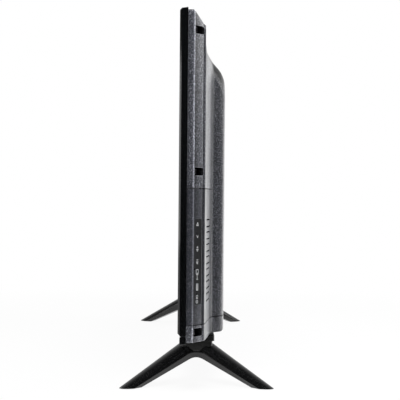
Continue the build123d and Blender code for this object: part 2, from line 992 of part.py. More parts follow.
def bay_walls(left, right, low, high):
    """The walls and the floor of a plug bay."""
    wall = cover_wall
    return slab(outline(left - wall, right + wall, low - wall, high + wall,
                        bay_corner_radius + wall), bay_floor_depth - wall, back_depth - wall / 2)


def with_bays(shell):
    """The cover with its two plug bays, and the openings in their walls for the sockets."""
    wall = cover_wall
    left, right = socket_bay_sides()
    shell += bay_walls(left, right, socket_bay_low, socket_bay_high)
    shell -= slab(bay_outline(left, right, socket_bay_low, socket_bay_high), bay_floor_depth,
                  back_depth + overrun)
    plate = socket_plate_outline(0)
    shell -= extrude_from_side(plate, left - wall - overrun, left + overrun)
    left, right = power_bay_sides()
    shell += bay_walls(left, right, power_bay_low, power_bay_high)
    shell -= slab(bay_outline(left, right, power_bay_low, power_bay_high), bay_floor_depth,
                  back_depth + overrun)
    half = inlet_width / 2 + fit_clearance
    depth = board_depth + board_thickness
    return shell - block(right - overrun, right + wall + overrun, depth - fit_clearance,
                         depth + inlet_height + fit_clearance, inlet_z - half, inlet_z + half)


def extrude_from_side(sketch, left, right):
    """A sketch of depth and height, extruded along X."""
    plane = Plane(origin=(left, y_at(0), 0), x_dir=(0, 1, 0), z_dir=(1, 0, 0))
    return extrude(plane * sketch, amount=right - left, dir=(1, 0, 0))


def socket_plate_outline(shrink):
    """The socket plate seen from the side: depth and height."""
    front = board_depth + board_thickness + shrink
    back = front + socket_plate_depth - shrink * 2
    low = socket_bay_low + socket_plate_margin + shrink
    return outline(front, back, low, socket_bay_high - socket_plate_margin - shrink)


def mount_places():
    """The X and Z of the wall mount's four threads."""
    half = mount_pitch / 2
    return [(x, mount_centre_height + z) for x in (-half, half) for z in (-half, half)]


def vent_slots():
    """Rows of upright air slots in the flat back."""
    slots = Sketch()
    span = vent_pitch * (vent_count - 1) / 2
    for z in vent_row_heights:
        row = [Pos(vent_pitch * number - span, z) * SlotOverall(vent_height, vent_width, rotation=90)
               for number in range(vent_count)]
        slots += row
    return slab(slots, swell_core_depth, back_depth + overrun)


def rear_cover(shell):
    """The main rear cover."""
    cover = shell - seam_region_lower(seam_gap) - seam_region_control(seam_gap)
    cover = with_bays(cover)
    cover -= vent_slots()
    for x, z in mount_places():
        cover -= rod_back(x, z, mount_boss_radius + fit_clearance, rim_end_depth,
                          back_depth + overrun)
    return cover


def lower_cover(shell):
    """The narrow strip along the bottom of the back, with holes for the feet and the sound."""
    cover = shell & seam_region_lower(0)
    for sign in (1, -1):
        for y in foot_screw_places:
            cover -= rod_up(sign * foot_centre_x, y, foot_screw_radius + hole_clearance,
                            cover_bottom - overrun, cavity_bottom + overrun)
    return cover - speaker_grille(cover_bottom - overrun, cavity_bottom + overrun)


def speaker_grille(low, high):
    """Slots under the speakers."""
    slots = Sketch()
    span = speaker_grille_pitch * (speaker_grille_count - 1) / 2
    for sign in (1, -1):
        for number in range(speaker_grille_count):
            x = sign * speaker_centre_x + speaker_grille_pitch * number - span
            slots += Pos(x, y_at(speaker_centre_depth)) * SlotOverall(
                speaker_hole_width, speaker_grille_width, rotation=90)
    return extrude(Pos(0, 0, low) * slots, amount=high - low)


# Fasteners

def cover_screw(x, z):
    """One screw in a pocket of the rim, its head on the pocket's floor."""
    seat = pocket_floor_depth
    head = rod_back(x, z, cover_screw_head_radius, seat, seat + cover_screw_head_height)
    shank = rod_back(x, z, cover_screw_radius, seat - cover_screw_length, seat)
    cross = Pos(x, z) * (Rectangle(cover_screw_cross_length, cover_screw_cross_width)
                         + Rectangle(cover_screw_cross_width, cover_screw_cross_length))
    top = seat + cover_screw_head_height
    return head + shank - slab(cross, top - cover_screw_cross_depth, top + overrun)


def cover_screws():
    """The screws that hold the cover."""
    return [cover_screw(x, z) for x, z in pocket_places()]


def board_hole_places():
    """The X and Z of the board screws, four to each board."""
    inner = board_inner_edge + board_hole_inset
    outer = board_outer_edge - board_hole_inset
    heights = (board_low + board_hole_inset, board_high - board_hole_inset)
    return [(sign * x, z) for sign in (1, -1) for x in (inner, outer) for z in heights]


def board_screws():
    """The screws and spacers that hold the boards to the tray."""
    parts = []
    back = board_depth + board_thickness
    for x, z in board_hole_places():
        spacer = rod_back(x, z, board_post_radius, tray_back_depth, board_depth)
        shank = rod_back(x, z, board_screw_radius, board_depth, back)
        head = rod_back(x, z, board_screw_head_radius, back, back + board_screw_head_height)
        parts.append(spacer + shank + head)
    return parts


def foot_screws():
    """The screws that hold the feet, with their heads sunk in the necks."""
    parts = []
    for sign in (1, -1):
        for y in foot_screw_places:
            x = sign * foot_centre_x
            head = rod_up(x, y, foot_screw_head_radius, foot_screw_seat - foot_screw_head_height,
                          foot_screw_seat)
            shank = rod_up(x, y, foot_screw_radius, foot_screw_seat,
                           cavity_bottom + bracket_thickness)
            parts.append(head + shank)
    return parts


# Boards

def circuit_board(sign):
    """A bare board on one side of the middle."""
    left = sign * board_inner_edge
    right = sign * board_outer_edge
    board = slab(outline(min(left, right), max(left, right), board_low, board_high,
                         board_corner_radius), board_depth, board_depth + board_thickness)
    for x, z in board_hole_places():
        board -= rod_back(x, z, board_screw_radius, board_depth - overrun,
                          board_depth + board_thickness + overrun)
    return board


def main_board_parts():
    """Chips, a finned heat sink and lead connectors of the main board."""
    base = board_depth + board_thickness
    middle = (board_inner_edge + board_outer_edge) / 2
    centre_z = (board_low + board_high) / 2
    half = heat_sink_size / 2
    chip = block(middle - chip_size / 2, middle + chip_size / 2, base, base + chip_height,
                 centre_z - chip_size / 2, centre_z + chip_size / 2)
    foot = base + chip_height
    sink = block(middle - half, middle + half, foot, foot + heat_sink_base,
                 centre_z - half, centre_z + half)
    pitch = (heat_sink_size - heat_sink_fin) / (heat_sink_fins - 1)
    for number in range(heat_sink_fins):
        left = middle - half + pitch * number
        sink += block(left, left + heat_sink_fin, foot + heat_sink_base, foot + heat_sink_height,
                      centre_z - half, centre_z + half)
    parts = [chip, sink]
    for number in range(small_chip_count):
        z = board_low + small_chip_rise + small_chip_pitch * number
        parts.append(block(middle - small_chip_width, middle, base, base + chip_height,
                           z - small_chip_height / 2, z + small_chip_height / 2))
    for z in (board_low + connector_length, board_high - connector_length):
        left = board_inner_edge + board_hole_inset * 2
        parts.append(block(left, left + connector_width, base, base + connector_height,
                           z - connector_length / 2, z + connector_length / 2))
    return parts


def power_capacitors():
    """Round capacitors that stand on the power board."""
    base = board_depth + board_thickness
    middle = -(board_inner_edge + board_outer_edge) / 2
    cans = []
    for number in range(capacitor_count):
        x = middle + capacitor_pitch * (number - (capacitor_count - 1) / 2)
        cans.append(rod_back(x, board_low + capacitor_rise, capacitor_radius, base,
                             base + capacitor_length))
    for number in range(small_capacitor_count):
        x = middle + small_capacitor_pitch * (number - (small_capacitor_count - 1) / 2)
        cans.append(rod_back(x, board_high - small_capacitor_drop, small_capacitor_radius,
                             base, base + small_capacitor_length))
    return cans


def power_transformer():
    """The transformer: a core with its winding."""
    base = board_depth + board_thickness
    middle = -(board_inner_edge + board_outer_edge) / 2
    centre_z = (board_low + board_high) / 2
    core = block(middle - transformer_width / 2, middle + transformer_width / 2, base,
                 base + transformer_depth, centre_z - transformer_height / 2,
                 centre_z + transformer_height / 2)
    margin = (transformer_width - winding_width) / 2
    window_end = base + transformer_depth - margin
    core -= block(middle - winding_width / 2, middle + winding_width / 2, base + margin / 2,
                  window_end, centre_z - transformer_height, centre_z + transformer_height)
    half = winding_width / 2 - fit_clearance
    winding = block(middle - half, middle + half, base + margin / 2 + fit_clearance,
                    window_end - fit_clearance, centre_z - winding_height / 2,
                    centre_z + winding_height / 2)
    return [core, winding]


# Sockets

def mouth_x():
    """Where the sockets' mouths end, just past the socket plate."""
    return bay_edge() + socket_mouth_overhang


def flat_socket(z, width, height, length):
    """A metal socket with a tongue, its mouth facing +X."""
    front = board_depth + board_thickness
    back = front + height
    right = mouth_x()
    left = right - length
    shell = block(left, right, front, back, z - width / 2, z + width / 2)
    wall = socket_shell
    shell -= block(left + wall, right + overrun, front + wall, back - wall,
                   z - width / 2 + wall, z + width / 2 - wall)
    middle = (front + back) / 2
    return shell + block(left, right - wall * 2, middle - socket_tongue / 2,
                         middle + socket_tongue / 2, z - width * socket_tongue_share / 2,
                         z + width * socket_tongue_share / 2)


def hdmi_sockets():
    """Two digital picture sockets."""
    return [flat_socket(z, wide_socket_width, wide_socket_height, wide_socket_length)
            for z in wide_socket_heights]


def usb_sockets():
    """Two serial sockets."""
    return [flat_socket(z, usb_width, usb_height, usb_length) for z in usb_heights]


def audio_jacks():
    """Two round jacks with their noses through the plate."""
    front = board_depth + board_thickness
    middle = front + jack_body_height / 2
    right = board_outer_edge - fit_clearance
    jacks = []
    for z in jack_heights:
        body = block(right - jack_length, right, front, front + jack_body_height,
                     z - jack_body_width / 2, z + jack_body_width / 2)
        nose = rod_along_x(middle, z, jack_nose_radius, right, mouth_x())
        bore = rod_along_x(middle, z, jack_bore_radius, right - jack_length / 2,
                           mouth_x() + overrun)
        jacks.append(body + nose - bore)
    return jacks


def aerial_socket():
    """The round aerial socket with its centre contact."""
    middle = board_depth + board_thickness + aerial_radius + fit_clearance
    right = board_outer_edge + aerial_length / 2
    left = board_outer_edge - aerial_length / 2
    body = rod_along_x(middle, aerial_height, aerial_radius, left, right)
    body -= rod_along_x(middle, aerial_height, aerial_bore_radius, board_outer_edge, right + overrun)
    pin = rod_along_x(middle, aerial_height, aerial_pin_radius, board_outer_edge - overrun,
                      right - overrun)
    case = block(left, board_outer_edge - fit_clearance, board_depth + board_thickness,
                 middle + aerial_radius, aerial_height - aerial_radius,
                 aerial_height + aerial_radius)
    return body + case + pin


def socket_plate():
    """The plate round the sockets, in the bay's inner wall."""
    gap = fit_clearance
    plate = extrude_from_side(socket_plate_outline(gap), bay_edge() - gap - socket_plate_thickness,
                              bay_edge() - gap)
    front = board_depth + board_thickness
    left = board_outer_edge - overrun
    right = bay_edge() + overrun
    for z in wide_socket_heights:
        half = wide_socket_width / 2 + gap
        plate -= block(left, right, front - gap, front + wide_socket_height + gap, z - half, z + half)
    for z in usb_heights:
        half = usb_width / 2 + gap
        plate -= block(left, right, front - gap, front + usb_height + gap, z - half, z + half)
    for z in jack_heights:
        plate -= rod_along_x(front + jack_body_height / 2, z, jack_nose_radius + gap, left, right)
    return plate - rod_along_x(front + aerial_radius + gap, aerial_height, aerial_radius + gap,
                               left, right)


def ac_inlet():
    """The mains inlet on the power board, facing -X, with its two pins."""
    front = board_depth + board_thickness
    back = front + inlet_height
    left = -bay_edge()
    right = left + inlet_length
    half = inlet_width / 2
    body = block(left, right, front, back, inlet_z - half, inlet_z + half)
    wall = inlet_wall
    body -= block(left - overrun, right - wall * 2, front + wall, back - wall,
                  inlet_z - half + wall, inlet_z + half - wall)
    for sign in (1, -1):
        z = inlet_z + sign * inlet_pin_spacing / 2
        body += rod_along_x((front + back) / 2, z, inlet_pin_radius, left + wall, right)
    return body


# Keys' board

def key_board():
    """The narrow board under the keys."""
    centre = half_width - key_post_inset
    board = block(centre - key_board_width / 2, centre + key_board_width / 2, key_board_depth,
                  key_board_depth + key_board_thickness, key_heights[0] - key_board_margin,
                  key_heights[-1] + key_board_margin)
    return board


def key_switches():
    """One push switch under each key."""
    base = key_board_depth + key_board_thickness
    x = half_width - key_post_inset
    half = switch_size / 2
    parts = []
    for z in key_heights:
        body = block(x - half, x + half, base, base + switch_height, z - half, z + half)
        parts.append(body + rod_back(x, z, plunger_radius, base + switch_height,
                                     base + switch_height + plunger_height))
    return parts


# Wall mount

def wall_mount_bosses():
    """Threaded bosses from the tray to the flat back."""
    bosses = []
    for x, z in mount_places():
        boss = rod_back(x, z, mount_boss_radius, tray_back_depth, back_depth)
        boss += rod_back(x, z, mount_flange_radius, tray_back_depth,
                         tray_back_depth + mount_flange_thickness)
        bosses.append(boss - rod_back(x, z, mount_thread_radius, back_depth - mount_thread_depth,
                                      back_depth + overrun))
    return bosses


# Speakers

def speaker_section(length, width, z):
    """A rounded outline of a speaker at one height."""
    half_round = RectangleRounded(length, width, width / 2 - fit_clearance)
    return Pos(speaker_centre_x, y_at(speaker_centre_depth), z) * half_round


def speaker_frame():
    """The speaker's case, open at its lower face, with a hole for the cone."""
    length = speaker_half_length * 2
    size = speaker_depth_size
    wall = speaker_wall
    case = extrude(speaker_section(length, size, speaker_low), amount=speaker_frame_height)
    inner = extrude(speaker_section(length - wall * 2, size - wall * 2, speaker_low + wall),
                    amount=speaker_frame_height - wall * 2)
    hole = extrude(speaker_section(speaker_hole_length, speaker_hole_width, speaker_low - overrun),
                   amount=overrun + wall * 2)
    return case - inner - hole


def speaker_cone():
    """The cone that moves up and down in the speaker's hole."""
    edge = moving_clearance + fit_clearance
    low = speaker_low + cone_throw + fit_clearance
    wide = speaker_section(speaker_hole_length - edge * 2, speaker_hole_width - edge * 2, low)
    narrow = Pos(speaker_centre_x, y_at(speaker_centre_depth), low + cone_rise) * RectangleRounded(
        cone_top_length, voice_coil_radius * 2, cone_top_radius)
    outer = loft([wide, narrow])
    inner = Pos(0, 0, -cone_thickness) * outer
    return outer - inner


def speaker_magnet():
    """The magnet under the roof of the speaker's case."""
    roof = speaker_low + speaker_frame_height - speaker_wall
    return rod_up(speaker_centre_x, y_at(speaker_centre_depth), magnet_radius,
                  roof - magnet_height, roof)


# Foot brackets

def foot_bracket():
    """An angle plate that carries the foot's screws and lies on the tray's back."""
    left = foot_centre_x - bracket_half_width
    right = foot_centre_x + bracket_half_width
    back = tray_back_depth + bracket_thickness + fit_clearance
    base = block(left, right, bracket_front_depth, bracket_back_depth,
                 cavity_bottom, cavity_bottom + bracket_thickness)
    upright = block(left, right, back - bracket_thickness, back, cavity_bottom,
                    cavity_bottom + bracket_height)
    bracket = base + upright
    for y in foot_screw_places:
        bracket -= rod_up(foot_centre_x, y, foot_screw_radius, cavity_bottom - overrun,
                          cavity_bottom + bracket_thickness + overrun)
    return bracket


# Feet

def leg_section(turn, x, y, half, under, ridge):
    """A leg's section: a round top, a crisp edge and a flat strip below it."""
    plane = Plane(origin=(x, y, 0), x_dir=(math.cos(turn), math.sin(turn), 0),
                  z_dir=(math.sin(turn), -math.cos(turn), 0))
    edge = under + (ridge - under) * leg_edge_share
    tuck = half - leg_tuck
    top = ThreePointArc((half, edge), (0, ridge), (-half, edge))
    rest = Polyline((-half, edge), (-tuck, under), (tuck, under), (half, edge))
    return plane * make_face(top.edges() + rest.edges())


def leg_station(run):
    """The section of the straight leg at a run from its root."""
    root_x = foot_centre_x + arch_half * math.tan(splay) / 2
    half = root_half_width + (toe_half_width - root_half_width) * run / leg_length
    return leg_section(splay, root_x + run * math.sin(splay), -arch_half - run * math.cos(splay),
                       half, root_under - under_slope * run, root_ridge - ridge_slope * run)


def arch_station(share):
    """A section of the curved arch, from the middle (0) to the leg's root (1)."""
    x = foot_centre_x + arch_half * math.tan(splay) / 2 * share ** 2
    under = arch_height + (root_under - arch_height) * share ** 2
    ridge = arch_top + (root_ridge - arch_top) * share ** 2
    return leg_section(math.atan(math.tan(splay) * share), x, -arch_half * share,
                       root_half_width, under, ridge)


def front_leg():
    """The leg that reaches forwards, from the arch's middle to its toe."""
    arch = loft([arch_station(step / arch_steps) for step in range(arch_steps + 1)])
    straight = loft([leg_station(0), leg_station(leg_length)], ruled=True)
    return arch + straight


def neck():
    """The upright block between the legs and the cabinet, with its flange."""
    column = extrude(Pos(foot_centre_x, 0, neck_low) * RectangleRounded(
        neck_half_width * 2, neck_half_depth * 2, neck_corner_radius), amount=flange_top - neck_low)
    reach = flange_back_reach + neck_half_depth
    plate = Pos(foot_centre_x, (flange_back_reach - neck_half_depth) / 2,
                flange_top - flange_thickness) * RectangleRounded(
        flange_half_width * 2, reach, flange_corner_radius)
    cap = Pos(foot_centre_x, (flange_back_reach + y_at(cover_front)) / 2, flange_top) * Rectangle(
        flange_half_width * 2 - flange_corner_radius * 2,
        flange_back_reach - y_at(cover_front) - flange_corner_radius)
    rise = cover_bottom - flange_gap - flange_top
    return column + extrude(plate, amount=flange_thickness) + extrude(cap, amount=rise)


def right_foot():
    """The foot at +X: two splayed legs that meet in an arch under the neck."""
    leg = front_leg()
    floor = Pos(foot_centre_x, 0, pad_recess - leg_length) * Box(
        cabinet_width, cabinet_width, leg_length * 2)
    foot = leg + mirror(leg, about=Plane.XZ) + neck() - floor
    for y in foot_screw_places:
        foot -= rod_up(foot_centre_x, y, foot_screw_head_radius + hole_clearance, 0, foot_screw_seat)
        foot -= rod_up(foot_centre_x, y, foot_screw_radius + hole_clearance, 0,
                       cabinet_bottom + overrun * 2)
    for pad in foot_pads():
        foot -= pad
    return foot


def foot_pads():
    """The rubber pads under the toes of the foot at +X."""
    pads = []
    for sign in (1, -1):
        plane = Plane(origin=(foot_centre_x + arch_half * math.tan(splay) / 2
                              + pad_run * math.sin(splay),
                              -sign * (arch_half + pad_run * math.cos(splay)), 0),
                      x_dir=(math.sin(splay), -sign * math.cos(splay), 0), z_dir=(0, 0, 1))
        pads.append(extrude(plane * SlotOverall(pad_length, pad_width), amount=pad_thickness))
    return pads


# Leads

def lead(points):
    """A round lead along straight runs joined by arcs."""
    path = FilletPolyline(*[(x, y_at(depth), z) for x, depth, z in points],
                          radius=lead_bend_radius)
    profile = Plane(origin=path @ 0, z_dir=path % 0) * Circle(lead_radius)
    return sweep(profile, path=path)


def inner_leads():
    """The leads from the boards to the keys, the lamps and the speakers."""
    start_x = board_inner_edge + board_hole_inset * 2 + connector_width / 2
    key_x = half_width - key_post_inset - key_board_width / 2 - lead_radius
    key_z = key_heights[0] - key_board_margin / 2
    under_boards = board_low - connector_length
    speaker_top = speaker_low + speaker_frame_height
    leads = [
        lead([(board_outer_edge - key_lead_inset, lead_depth, board_low - lead_radius),
              (board_outer_edge - key_lead_inset, lead_depth, under_boards),
              (key_x - lead_bend_radius, lead_depth, under_boards),
              (key_x - lead_bend_radius, lead_depth, key_z)]),
    ]
    for sign in (1, -1):
        offset = connector_length if sign > 0 else -connector_length
        leads.append(lead([(sign * start_x, lead_depth, board_low - lead_radius),
                           (sign * start_x, lead_depth, under_boards - connector_length),
                           (sign * speaker_centre_x + offset, lead_depth,
                            under_boards - connector_length),
                           (sign * speaker_centre_x + offset, lead_depth,
                            speaker_top + lead_radius)]))
    return leads


def write(name, shape):
    """Write one sub-part, as one solid or as a group of separate solids."""
    if isinstance(shape, list):
        solids = [solid for item in shape for solid in item.solids()]
        shape = Compound(children=solids)
    export_step(shape, "parts/" + name + ".step")


def main():
    """Make and write every sub-part."""
    os.makedirs("parts", exist_ok=True)
    hollow = cover_hollow()
    shell = cover_shell(hollow)
    write("front_bezel", front_bezel())
    write("bottom_trim", bottom_trim())
    write("infrared_window", infrared_window())
    write("infrared_board", infrared_board())
    write("lcd_panel", lcd_panel())
    write("optical_sheets", optical_sheets())
    write("diffuser_plate", diffuser_plate())
    write("panel_frame", panel_frame())
    write("backlight_tray", backlight_tray())
    write("reflector_sheet", reflector_sheet())
    write("led_strips", led_strips())
    write("led_lenses", led_lenses())
    write("driver_board", driver_board())
    write("panel_films", panel_films())
    write("rear_cover", rear_cover(shell))
    write("lower_cover", lower_cover(shell))
    write("control_panel", control_panel(shell, hollow))
    write("key_label_strip", key_label_strip())
    for name, z in zip(key_names, key_heights):
        write(name, key_tongue(shell, hollow, z))
    write("key_board", key_board())
    write("key_switches", key_switches())
    write("cover_screws", cover_screws())
    write("main_board", circuit_board(1))
    write("main_board_chips", main_board_parts())
    write("power_board", circuit_board(-1))
    write("power_capacitors", power_capacitors())
    write("power_transformer", power_transformer())
    write("board_screws", board_screws())
    write("hdmi_sockets", hdmi_sockets())
    write("usb_sockets", usb_sockets())
    write("audio_jacks", audio_jacks())
    write("aerial_socket", aerial_socket())
    write("socket_plate", socket_plate())
    write("ac_inlet", ac_inlet())
    write("wall_mount_bosses", wall_mount_bosses())
    for side, turn in (("right", False), ("left", True)):
        for piece, shape in (("speaker_frame", speaker_frame()), ("speaker_cone", speaker_cone()),
                             ("speaker_magnet", speaker_magnet())):
            write(side + "_" + piece, mirrored(shape) if turn else shape)
    bracket = foot_bracket()
    write("foot_brackets", [bracket, mirrored(bracket)])
    foot = right_foot()
    write("right_foot", foot)
    write("left_foot", mirrored(foot))
    pads = foot_pads()
    write("foot_pads", pads + [mirrored(pad) for pad in pads])
    write("foot_screws", foot_screws())
    write("inner_leads", inner_leads())


main()
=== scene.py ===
# %% [markdown]
# # A flat screen television, dressed for its photograph
# The solids come packed as a frame: every cover, key and foot is already in its place, in metres.
# Blender adds what solids don't carry: the finish of each plastic, the small printed signs, the
# soft light of a studio and the camera. The frame could also be rebuilt as new meshes, but then
# its sizes could drift, so the solids stay as they are and only get materials, and a few pieces
# that are too fine for solids are added to them.

# %% Load the frame
import bmesh
import bpy
import math
from mathutils import Matrix, Vector


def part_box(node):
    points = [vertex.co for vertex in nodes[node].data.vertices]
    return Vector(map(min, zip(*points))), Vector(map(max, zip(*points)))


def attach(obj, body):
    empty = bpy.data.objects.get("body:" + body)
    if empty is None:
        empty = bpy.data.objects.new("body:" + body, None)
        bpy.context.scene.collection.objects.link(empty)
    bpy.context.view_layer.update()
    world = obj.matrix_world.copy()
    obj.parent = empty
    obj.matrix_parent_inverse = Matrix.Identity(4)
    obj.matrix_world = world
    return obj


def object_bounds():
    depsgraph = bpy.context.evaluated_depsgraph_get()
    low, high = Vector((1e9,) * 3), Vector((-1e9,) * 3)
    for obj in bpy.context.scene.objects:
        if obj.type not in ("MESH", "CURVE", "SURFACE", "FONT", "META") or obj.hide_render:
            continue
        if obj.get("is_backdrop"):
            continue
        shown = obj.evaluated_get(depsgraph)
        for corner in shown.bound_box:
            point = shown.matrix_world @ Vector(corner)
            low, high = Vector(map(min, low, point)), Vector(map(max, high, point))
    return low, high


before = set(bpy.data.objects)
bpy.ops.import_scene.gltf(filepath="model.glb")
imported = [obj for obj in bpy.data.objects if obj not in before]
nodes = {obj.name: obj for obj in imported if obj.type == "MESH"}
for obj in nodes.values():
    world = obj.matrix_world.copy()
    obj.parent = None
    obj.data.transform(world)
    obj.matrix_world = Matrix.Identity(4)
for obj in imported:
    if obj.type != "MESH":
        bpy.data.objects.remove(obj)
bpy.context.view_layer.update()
MM = 0.001

# %% [markdown]
# ## The camera
# The photograph looks at the set exactly from the side of the keys, so the lens points along -X.
# A camera can be aimed with Track To, but here the picture is also turned by half a degree, so its
# three axes are worked out as vectors. The far foot looks smaller than the near one, which fixes
# the distance: 1.14 metres in front of the side. The focal length then follows from the height
# that the cabinet takes in the picture.

# %% Camera
PICTURE = 400
FOCAL_PIXELS = 885.3
SENSOR_WIDTH = 36
CAMERA_PLACE = Vector((1.5015, -0.0245, 0.2531))
VANISHING_X, VANISHING_Y = 179.7, 198.3
CAMERA_ROLL = math.radians(0.47)

camera_data = bpy.data.cameras.new("camera")
camera_data.sensor_width = SENSOR_WIDTH
camera_data.lens = FOCAL_PIXELS * SENSOR_WIDTH / PICTURE
camera = bpy.data.objects.new("camera", camera_data)
bpy.context.scene.collection.objects.link(camera)
bpy.context.scene.camera = camera

aim = Vector((-1, (PICTURE / 2 - VANISHING_X) / FOCAL_PIXELS, (VANISHING_Y - PICTURE / 2) / FOCAL_PIXELS))
aim.normalize()
level_right = aim.cross(Vector((0, 0, 1))).normalized()
level_up = level_right.cross(aim)
camera_up = level_up * math.cos(CAMERA_ROLL) - level_right * math.sin(CAMERA_ROLL)
camera_right = level_right * math.cos(CAMERA_ROLL) + level_up * math.sin(CAMERA_ROLL)
turn = Matrix((camera_right, camera_up, -aim)).transposed()
camera.matrix_world = Matrix.Translation(CAMERA_PLACE) @ turn.to_4x4()
print("camera lens:", round(camera_data.lens, 2), "mm, aimed along", [round(v, 3) for v in aim])

# %% [markdown]
# ## Building node trees in a script
# Every finish below is a small tree of nodes. They could be placed by hand in the shader editor,
# but a tree in a script is easy to read again and to change. Four lines for each node would be too
# many, so a few helpers come first. One adds a node and fills in its sockets. The others are the
# arithmetic, ranges and blends that nearly every tree needs, and they give back the output socket,
# so that one can be typed straight into the next.

# %% Helpers for node trees
COLOUR_A, COLOUR_B, COLOUR_OUT = 6, 7, 2


def add_node(tree, kind, place=(0, 0), **sockets):
    """A node of a tree. Words that aren't sockets of the node, such as operation, are its settings."""
    made = tree.nodes.new(kind)
    made.location = (place[0] * 200, place[1] * 160)
    for word, value in sockets.items():
        title = word.replace("_", " ")
        socket = made.inputs.get(title) or made.inputs.get(title.title())
        if socket is None:
            setattr(made, word, value)
        else:
            feed(tree, socket, value)
    return made


def join(tree, source, target):
    """Links one socket to another."""
    tree.links.new(source, target)


def feed(tree, socket, value):
    """Links a socket to another one, or types a value into it."""
    if isinstance(value, bpy.types.NodeSocket):
        join(tree, value, socket)
    else:
        socket.default_value = value


def maths(tree, place, operation, *values, **settings):
    """One step of arithmetic on numbers or sockets. It gives back its output."""
    made = add_node(tree, "ShaderNodeMath", place, operation=operation, **settings)
    for socket, value in zip(made.inputs, values):
        feed(tree, socket, value)
    return made.outputs[0]


def measure(tree, place, operation, *vectors):
    """A number that comes from vectors, such as their LENGTH or DOT_PRODUCT."""
    made = add_node(tree, "ShaderNodeVectorMath", place, operation=operation)
    for socket, value in zip(made.inputs, vectors):
        feed(tree, socket, value)
    return made.outputs["Value"]


def remap(tree, place, value, low, high, start=0, end=1, smooth=False):
    """Turns the range from low to high into the range from start to end."""
    kind = "SMOOTHSTEP" if smooth else "LINEAR"
    made = add_node(tree, "ShaderNodeMapRange", place, Value=value, interpolation_type=kind)
    for title, number in (("From Min", low), ("From Max", high), ("To Min", start), ("To Max", end)):
        feed(tree, made.inputs[title], number)
    return made.outputs["Result"]


def blend(tree, place, factor, first, second):
    """Mixes two colours, each a socket or three numbers."""
    made = add_node(tree, "ShaderNodeMix", place, data_type="RGBA", Factor=factor)
    for number, colour in ((COLOUR_A, first), (COLOUR_B, second)):
        typed = isinstance(colour, tuple)
        feed(tree, made.inputs[number], (*colour, 1) if typed else colour)
    return made.outputs[COLOUR_OUT]


print("helpers ready")

# %% [markdown]
# ## The floor
# The set stands on a white table in front of a white backdrop. A shadow catcher would keep only
# the shadows, but it adds nothing to what glossy parts mirror. So the floor is a real surface with
# two faces. To the lens it is nearly plain white, with a small share of the shadows under the
# feet. In mirrors it is a white table that ends a short way past the side with the keys and
# glows towards the back, and beyond its end it is dark.

# %% Floor
FLOOR_SIZE = 12.0
FLOOR_SHADOW_SHARE = 0.08
FLOOR_SHADOW_REACH = (0.45, 1.1)
TABLE_EDGE = (0.4, 0.62)
TABLE_SLANT = (1, 0.6, 0)
TABLE_REAR = (0.02, 0.4)
TABLE_GLOW = 1.6
TABLE_WHITE = (0.9, 0.9, 0.9)
TABLE_DARK = (0.02, 0.02, 0.02)
WHITE_LIGHT = (1, 1, 1, 1)

bpy.ops.mesh.primitive_plane_add(size=FLOOR_SIZE)
floor = bpy.context.object
floor.name = "floor"
floor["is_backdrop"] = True

floor_finish = bpy.data.materials.new("white_table")
floor_finish.use_nodes = True
tree = floor_finish.node_tree
tree.nodes.clear()
where = add_node(tree, "ShaderNodeTexCoord", (-6, 3)).outputs["Object"]
plain = remap(tree, (-4, 4), measure(tree, (-5, 4), "LENGTH", where), *FLOOR_SHADOW_REACH,
              1 - FLOOR_SHADOW_SHARE, 1, smooth=True)
slanted = measure(tree, (-5, 1), "DOT_PRODUCT", where, TABLE_SLANT)
table = remap(tree, (-4, 2), slanted, *TABLE_EDGE, 1, 0, smooth=True)
ray = add_node(tree, "ShaderNodeLightPath", (-5, 0))
mirrored = maths(tree, (-4, 0), "MAXIMUM", ray.outputs["Is Glossy Ray"],
                 ray.outputs["Is Transmission Ray"])
on_table = maths(tree, (-3, 1), "MULTIPLY", mirrored, table)
seen = maths(tree, (-2, 1), "MAXIMUM", ray.outputs["Is Camera Ray"], on_table)
share = maths(tree, (-1, 2), "MULTIPLY", seen, plain)
dimmed = blend(tree, (-2, -1), table, TABLE_DARK, TABLE_WHITE)
lit = blend(tree, (-1, 0), mirrored, TABLE_WHITE, dimmed)
white = add_node(tree, "ShaderNodeBsdfDiffuse", (0, 0), Color=lit)
parts = add_node(tree, "ShaderNodeSeparateXYZ", (-5, 2), Vector=where)
rearward = remap(tree, (-3, -3), parts.outputs["Y"], *TABLE_REAR, 0, TABLE_GLOW, smooth=True)
gain = maths(tree, (-1, -2), "MULTIPLY_ADD", rearward, mirrored, 1)
glow = add_node(tree, "ShaderNodeEmission", (0, -1), Color=WHITE_LIGHT, Strength=gain)
mixed = add_node(tree, "ShaderNodeMixShader", (1, 1))
for socket, value in zip(mixed.inputs, (share, white.outputs[0], glow.outputs[0])):
    join(tree, value, socket)
add_node(tree, "ShaderNodeOutputMaterial", (2, 1), Surface=mixed.outputs[0])
floor.data.materials.append(floor_finish)
print("floor:", FLOOR_SIZE, "m wide")

# %% [markdown]
# ## The backdrop
# The world is the backdrop. A picture of a studio could light the set, but a sum of two ramps says
# the same in a few numbers. It is white to the lens. To everything else it is bright behind the set
# and dark round the camera, with a softer glow low behind it. The dark side is what the glossy
# frame mirrors, which keeps it black, and the glow is what lights the slope of the cover.

# %% World
STUDIO_BRIGHT, STUDIO_DARK = 0.75, 0.03
STUDIO_FADE = (-0.85, 0.15)
STUDIO_GLOW = 1.6
GLOW_TOWARD = (-0.78, 0.58, -0.2)
GLOW_WIDTH = (0.8, 0.96)

